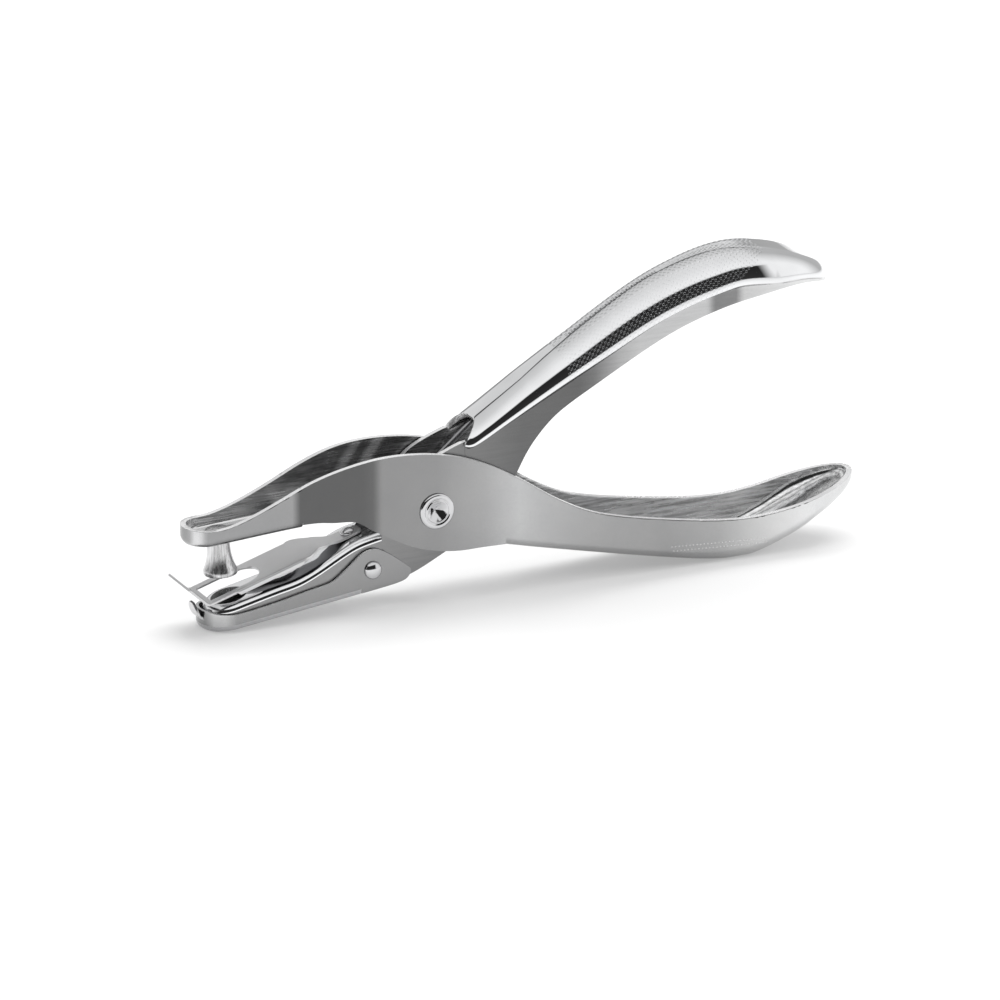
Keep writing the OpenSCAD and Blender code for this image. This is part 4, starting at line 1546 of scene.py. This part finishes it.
@dataclass
class Studio:
    """White floor, soft lamps and a surround with a dark side for the chrome to show.

    The surround's ramps run from straight down to straight up, the front one for what
    lies before the punch and the rear one for what lies behind it.
    """

    floor_size: float = 6.0
    floor_glow: float = 0.32  # the share of the floor that shines by itself
    lamp_aim: Vector = field(default_factory=lambda: Vector((0, 0, 0.02)))
    to_rear: tuple[float, float] = (-0.25, 0.25)  # y between the front ramp and the rear one
    to_right: tuple[float, float] = (0.4, 0.56)  # x between the ramps and the right side
    right: Pairs = ((-0.4, 0.3), (1.0, 0.5))  # the right side's y, and its greys there
    front: Pairs = (
        (0.0, 0.12), (0.03, 0.03), (0.62, 0.02), (0.66, 0.85), (0.72, 1.0), (0.85, 0.95),
        (1.0, 0.85),
    )
    rear: Pairs = (
        (0.0, 0.25), (0.2, 0.3), (0.28, 0.75), (0.52, 0.72), (0.53, 0.05), (0.575, 0.05),
        (0.585, 0.62), (0.85, 0.7), (1.0, 0.8),
    )

    def build(self) -> None:
        """Builds the floor, the lamps and the surround."""
        bpy.context.scene.view_settings.view_transform = "Standard"
        choose()
        bpy.ops.mesh.primitive_grid_add(x_subdivisions=4, y_subdivisions=4, size=self.floor_size)
        floor = bpy.context.active_object
        floor.name = "studio_floor"
        floor.data.materials.append(self._paper())
        self._lamp("top_softbox", (0.25, 0.3, 0.9), (0.9, 0.7), 9.0)
        self._lamp("left_softbox", (-0.9, -0.1, 0.5), (0.4, 0.6), 1.0)
        self._surround()

    def _paper(self) -> bpy.types.Material:
        """Returns the floor's material: white paper that keeps part of the shadow."""
        made = bpy.data.materials.new("studio_paper")
        tree = Tree(made)
        rays = tree.add("LightPath").outputs
        direct = tree.maths("MAXIMUM", rays["Is Camera Ray"], rays["Is Glossy Ray"])
        direct = tree.maths("MAXIMUM", direct, rays["Is Transmission Ray"])
        paper = tree.add("BsdfDiffuse", {"Color": (0.86, 0.86, 0.86, 1)})
        glow = tree.add("Emission", {"Strength": 1.0})
        share = tree.maths("MULTIPLY", direct, self.floor_glow)
        mix = tree.add("MixShader", {"Fac": share, 1: paper.outputs[0], 2: glow.outputs[0]})
        tree.add("OutputMaterial", {"Surface": mix.outputs[0]})
        return made

    def _lamp(
        self, name: str, at: tuple[float, float, float], size: tuple[float, float], power: float
    ) -> None:
        """Adds a soft lamp that faces the punch and doesn't show in the chrome.

        Args:
            name: The lamp's name.
            at: Its place.
            size: Its width and height.
            power: Its power in watts.
        """
        bpy.ops.object.light_add(type="AREA", location=at)
        lamp = bpy.context.active_object
        lamp.name = name
        lamp.data.shape = "RECTANGLE"
        lamp.data.size, lamp.data.size_y = size
        lamp.data.energy = power
        lamp.visible_glossy = False
        lamp.rotation_euler = (self.lamp_aim - Vector(at)).to_track_quat("-Z", "Y").to_euler()

    def _surround(self) -> None:
        """Makes the world: its front and rear ramps, and a light right side."""
        world = bpy.data.worlds.new("studio_surround")
        bpy.context.scene.world = world
        tree = Tree(world)
        split = tree.add("SeparateXYZ", {0: tree.add("TexCoord").outputs["Generated"]}).outputs
        both = tree.add("Mix", {
            0: tree.ranged(split["Y"], self.to_rear),
            2: tree.greys(split["Z"], self.front), 3: tree.greys(split["Z"], self.rear),
        })
        whole = tree.add("Mix", {
            0: tree.ranged(split["X"], self.to_right),
            2: both.outputs[0], 3: tree.ranged(split["Y"], *self.right),
        })
        sky = tree.add("Background", {"Color": whole.outputs[0]})
        tree.add("OutputWorld", {"Surface": sky.outputs["Background"]})


# ---------------------------------------------------------------- where things show


def middle_shown(camera: PhotoCamera, obj: Object, tree: BVHTree) -> tuple[float, float]:
    """Returns the pixel in the middle of what shows of a piece.

    Args:
        camera: The camera.
        obj: The piece.
        tree: All the pieces' surfaces.

    Returns:
        The middle of the seen vertices in x and in y.
    """
    eye = camera.obj.matrix_world.translation
    seen = []
    for vertex in obj.data.vertices:
        spot = obj.matrix_world @ vertex.co
        hit = tree.ray_cast(eye, (spot - eye).normalized())[0]
        if hit is not None and (hit - spot).length < 5e-5:
            seen.append(camera.shown(spot))
    px, py = zip(*seen)
    return (min(px) + max(px)) / 2, (min(py) + max(py)) / 2


def write_points(camera: PhotoCamera, rivets: Rivets, dots: DotRows) -> None:
    """Works out the pixel at which each thing shows.

    Args:
        camera: The camera.
        rivets: The rivets.
        dots: The rows of dots.
    """
    corners: list[Vector] = []
    faces: list[list[int]] = []
    for obj in bpy.context.scene.objects:
        if obj.type == "MESH" and not obj.hide_render and obj.name != "studio_floor":
            start = len(corners)
            corners += [obj.matrix_world @ v.co for v in obj.data.vertices]
            faces += [[start + i for i in f.vertices] for f in obj.data.polygons]
    tree = BVHTree.FromPolygons(corners, faces)
    xs, ys = zip(*[camera.shown(corner) for corner in corners])
    found: dict[str, tuple[float | None, float | None]] = {
        "object_left": (min(xs), None),
        "object_right": (max(xs), None),
        "object_top": (None, min(ys)),
        "object_bottom": (None, max(ys)),
        "pivot_rivet": middle_shown(camera, rivets.pivot, tree),
        "tray_rivet": middle_shown(camera, rivets.tray[0], tree),
        "stripper_rivet": middle_shown(camera, rivets.strip, tree),
        "dot_row_start": camera.shown(dots.ends[0]),
        "dot_row_end": camera.shown(dots.ends[1]),
    }


def main() -> None:
    """Builds the punch, dresses it and works out where its features show."""
    logging.basicConfig(level=logging.INFO, format="%(name)s: %(message)s")
    camera = PhotoCamera()
    camera.build()
    outer, rivets = OuterLever(), Rivets()
    pieces = (
        outer, InnerLever(), ChadTray(), StripperPlate(), PunchPin(), rivets, ReturnSpring()
    )
    for piece in pieces:
        piece.build()
        piece.dress()
        LOG.info("%s made", type(piece).__name__)
    dots = DotRows()
    dots.build(camera, outer.obj)
    dots.dress()
    LOG.info("DotRows made")
    Studio().build()
    LOG.info("Studio made")
    write_points(camera, rivets, dots)


if __name__ == "__main__":
    main()
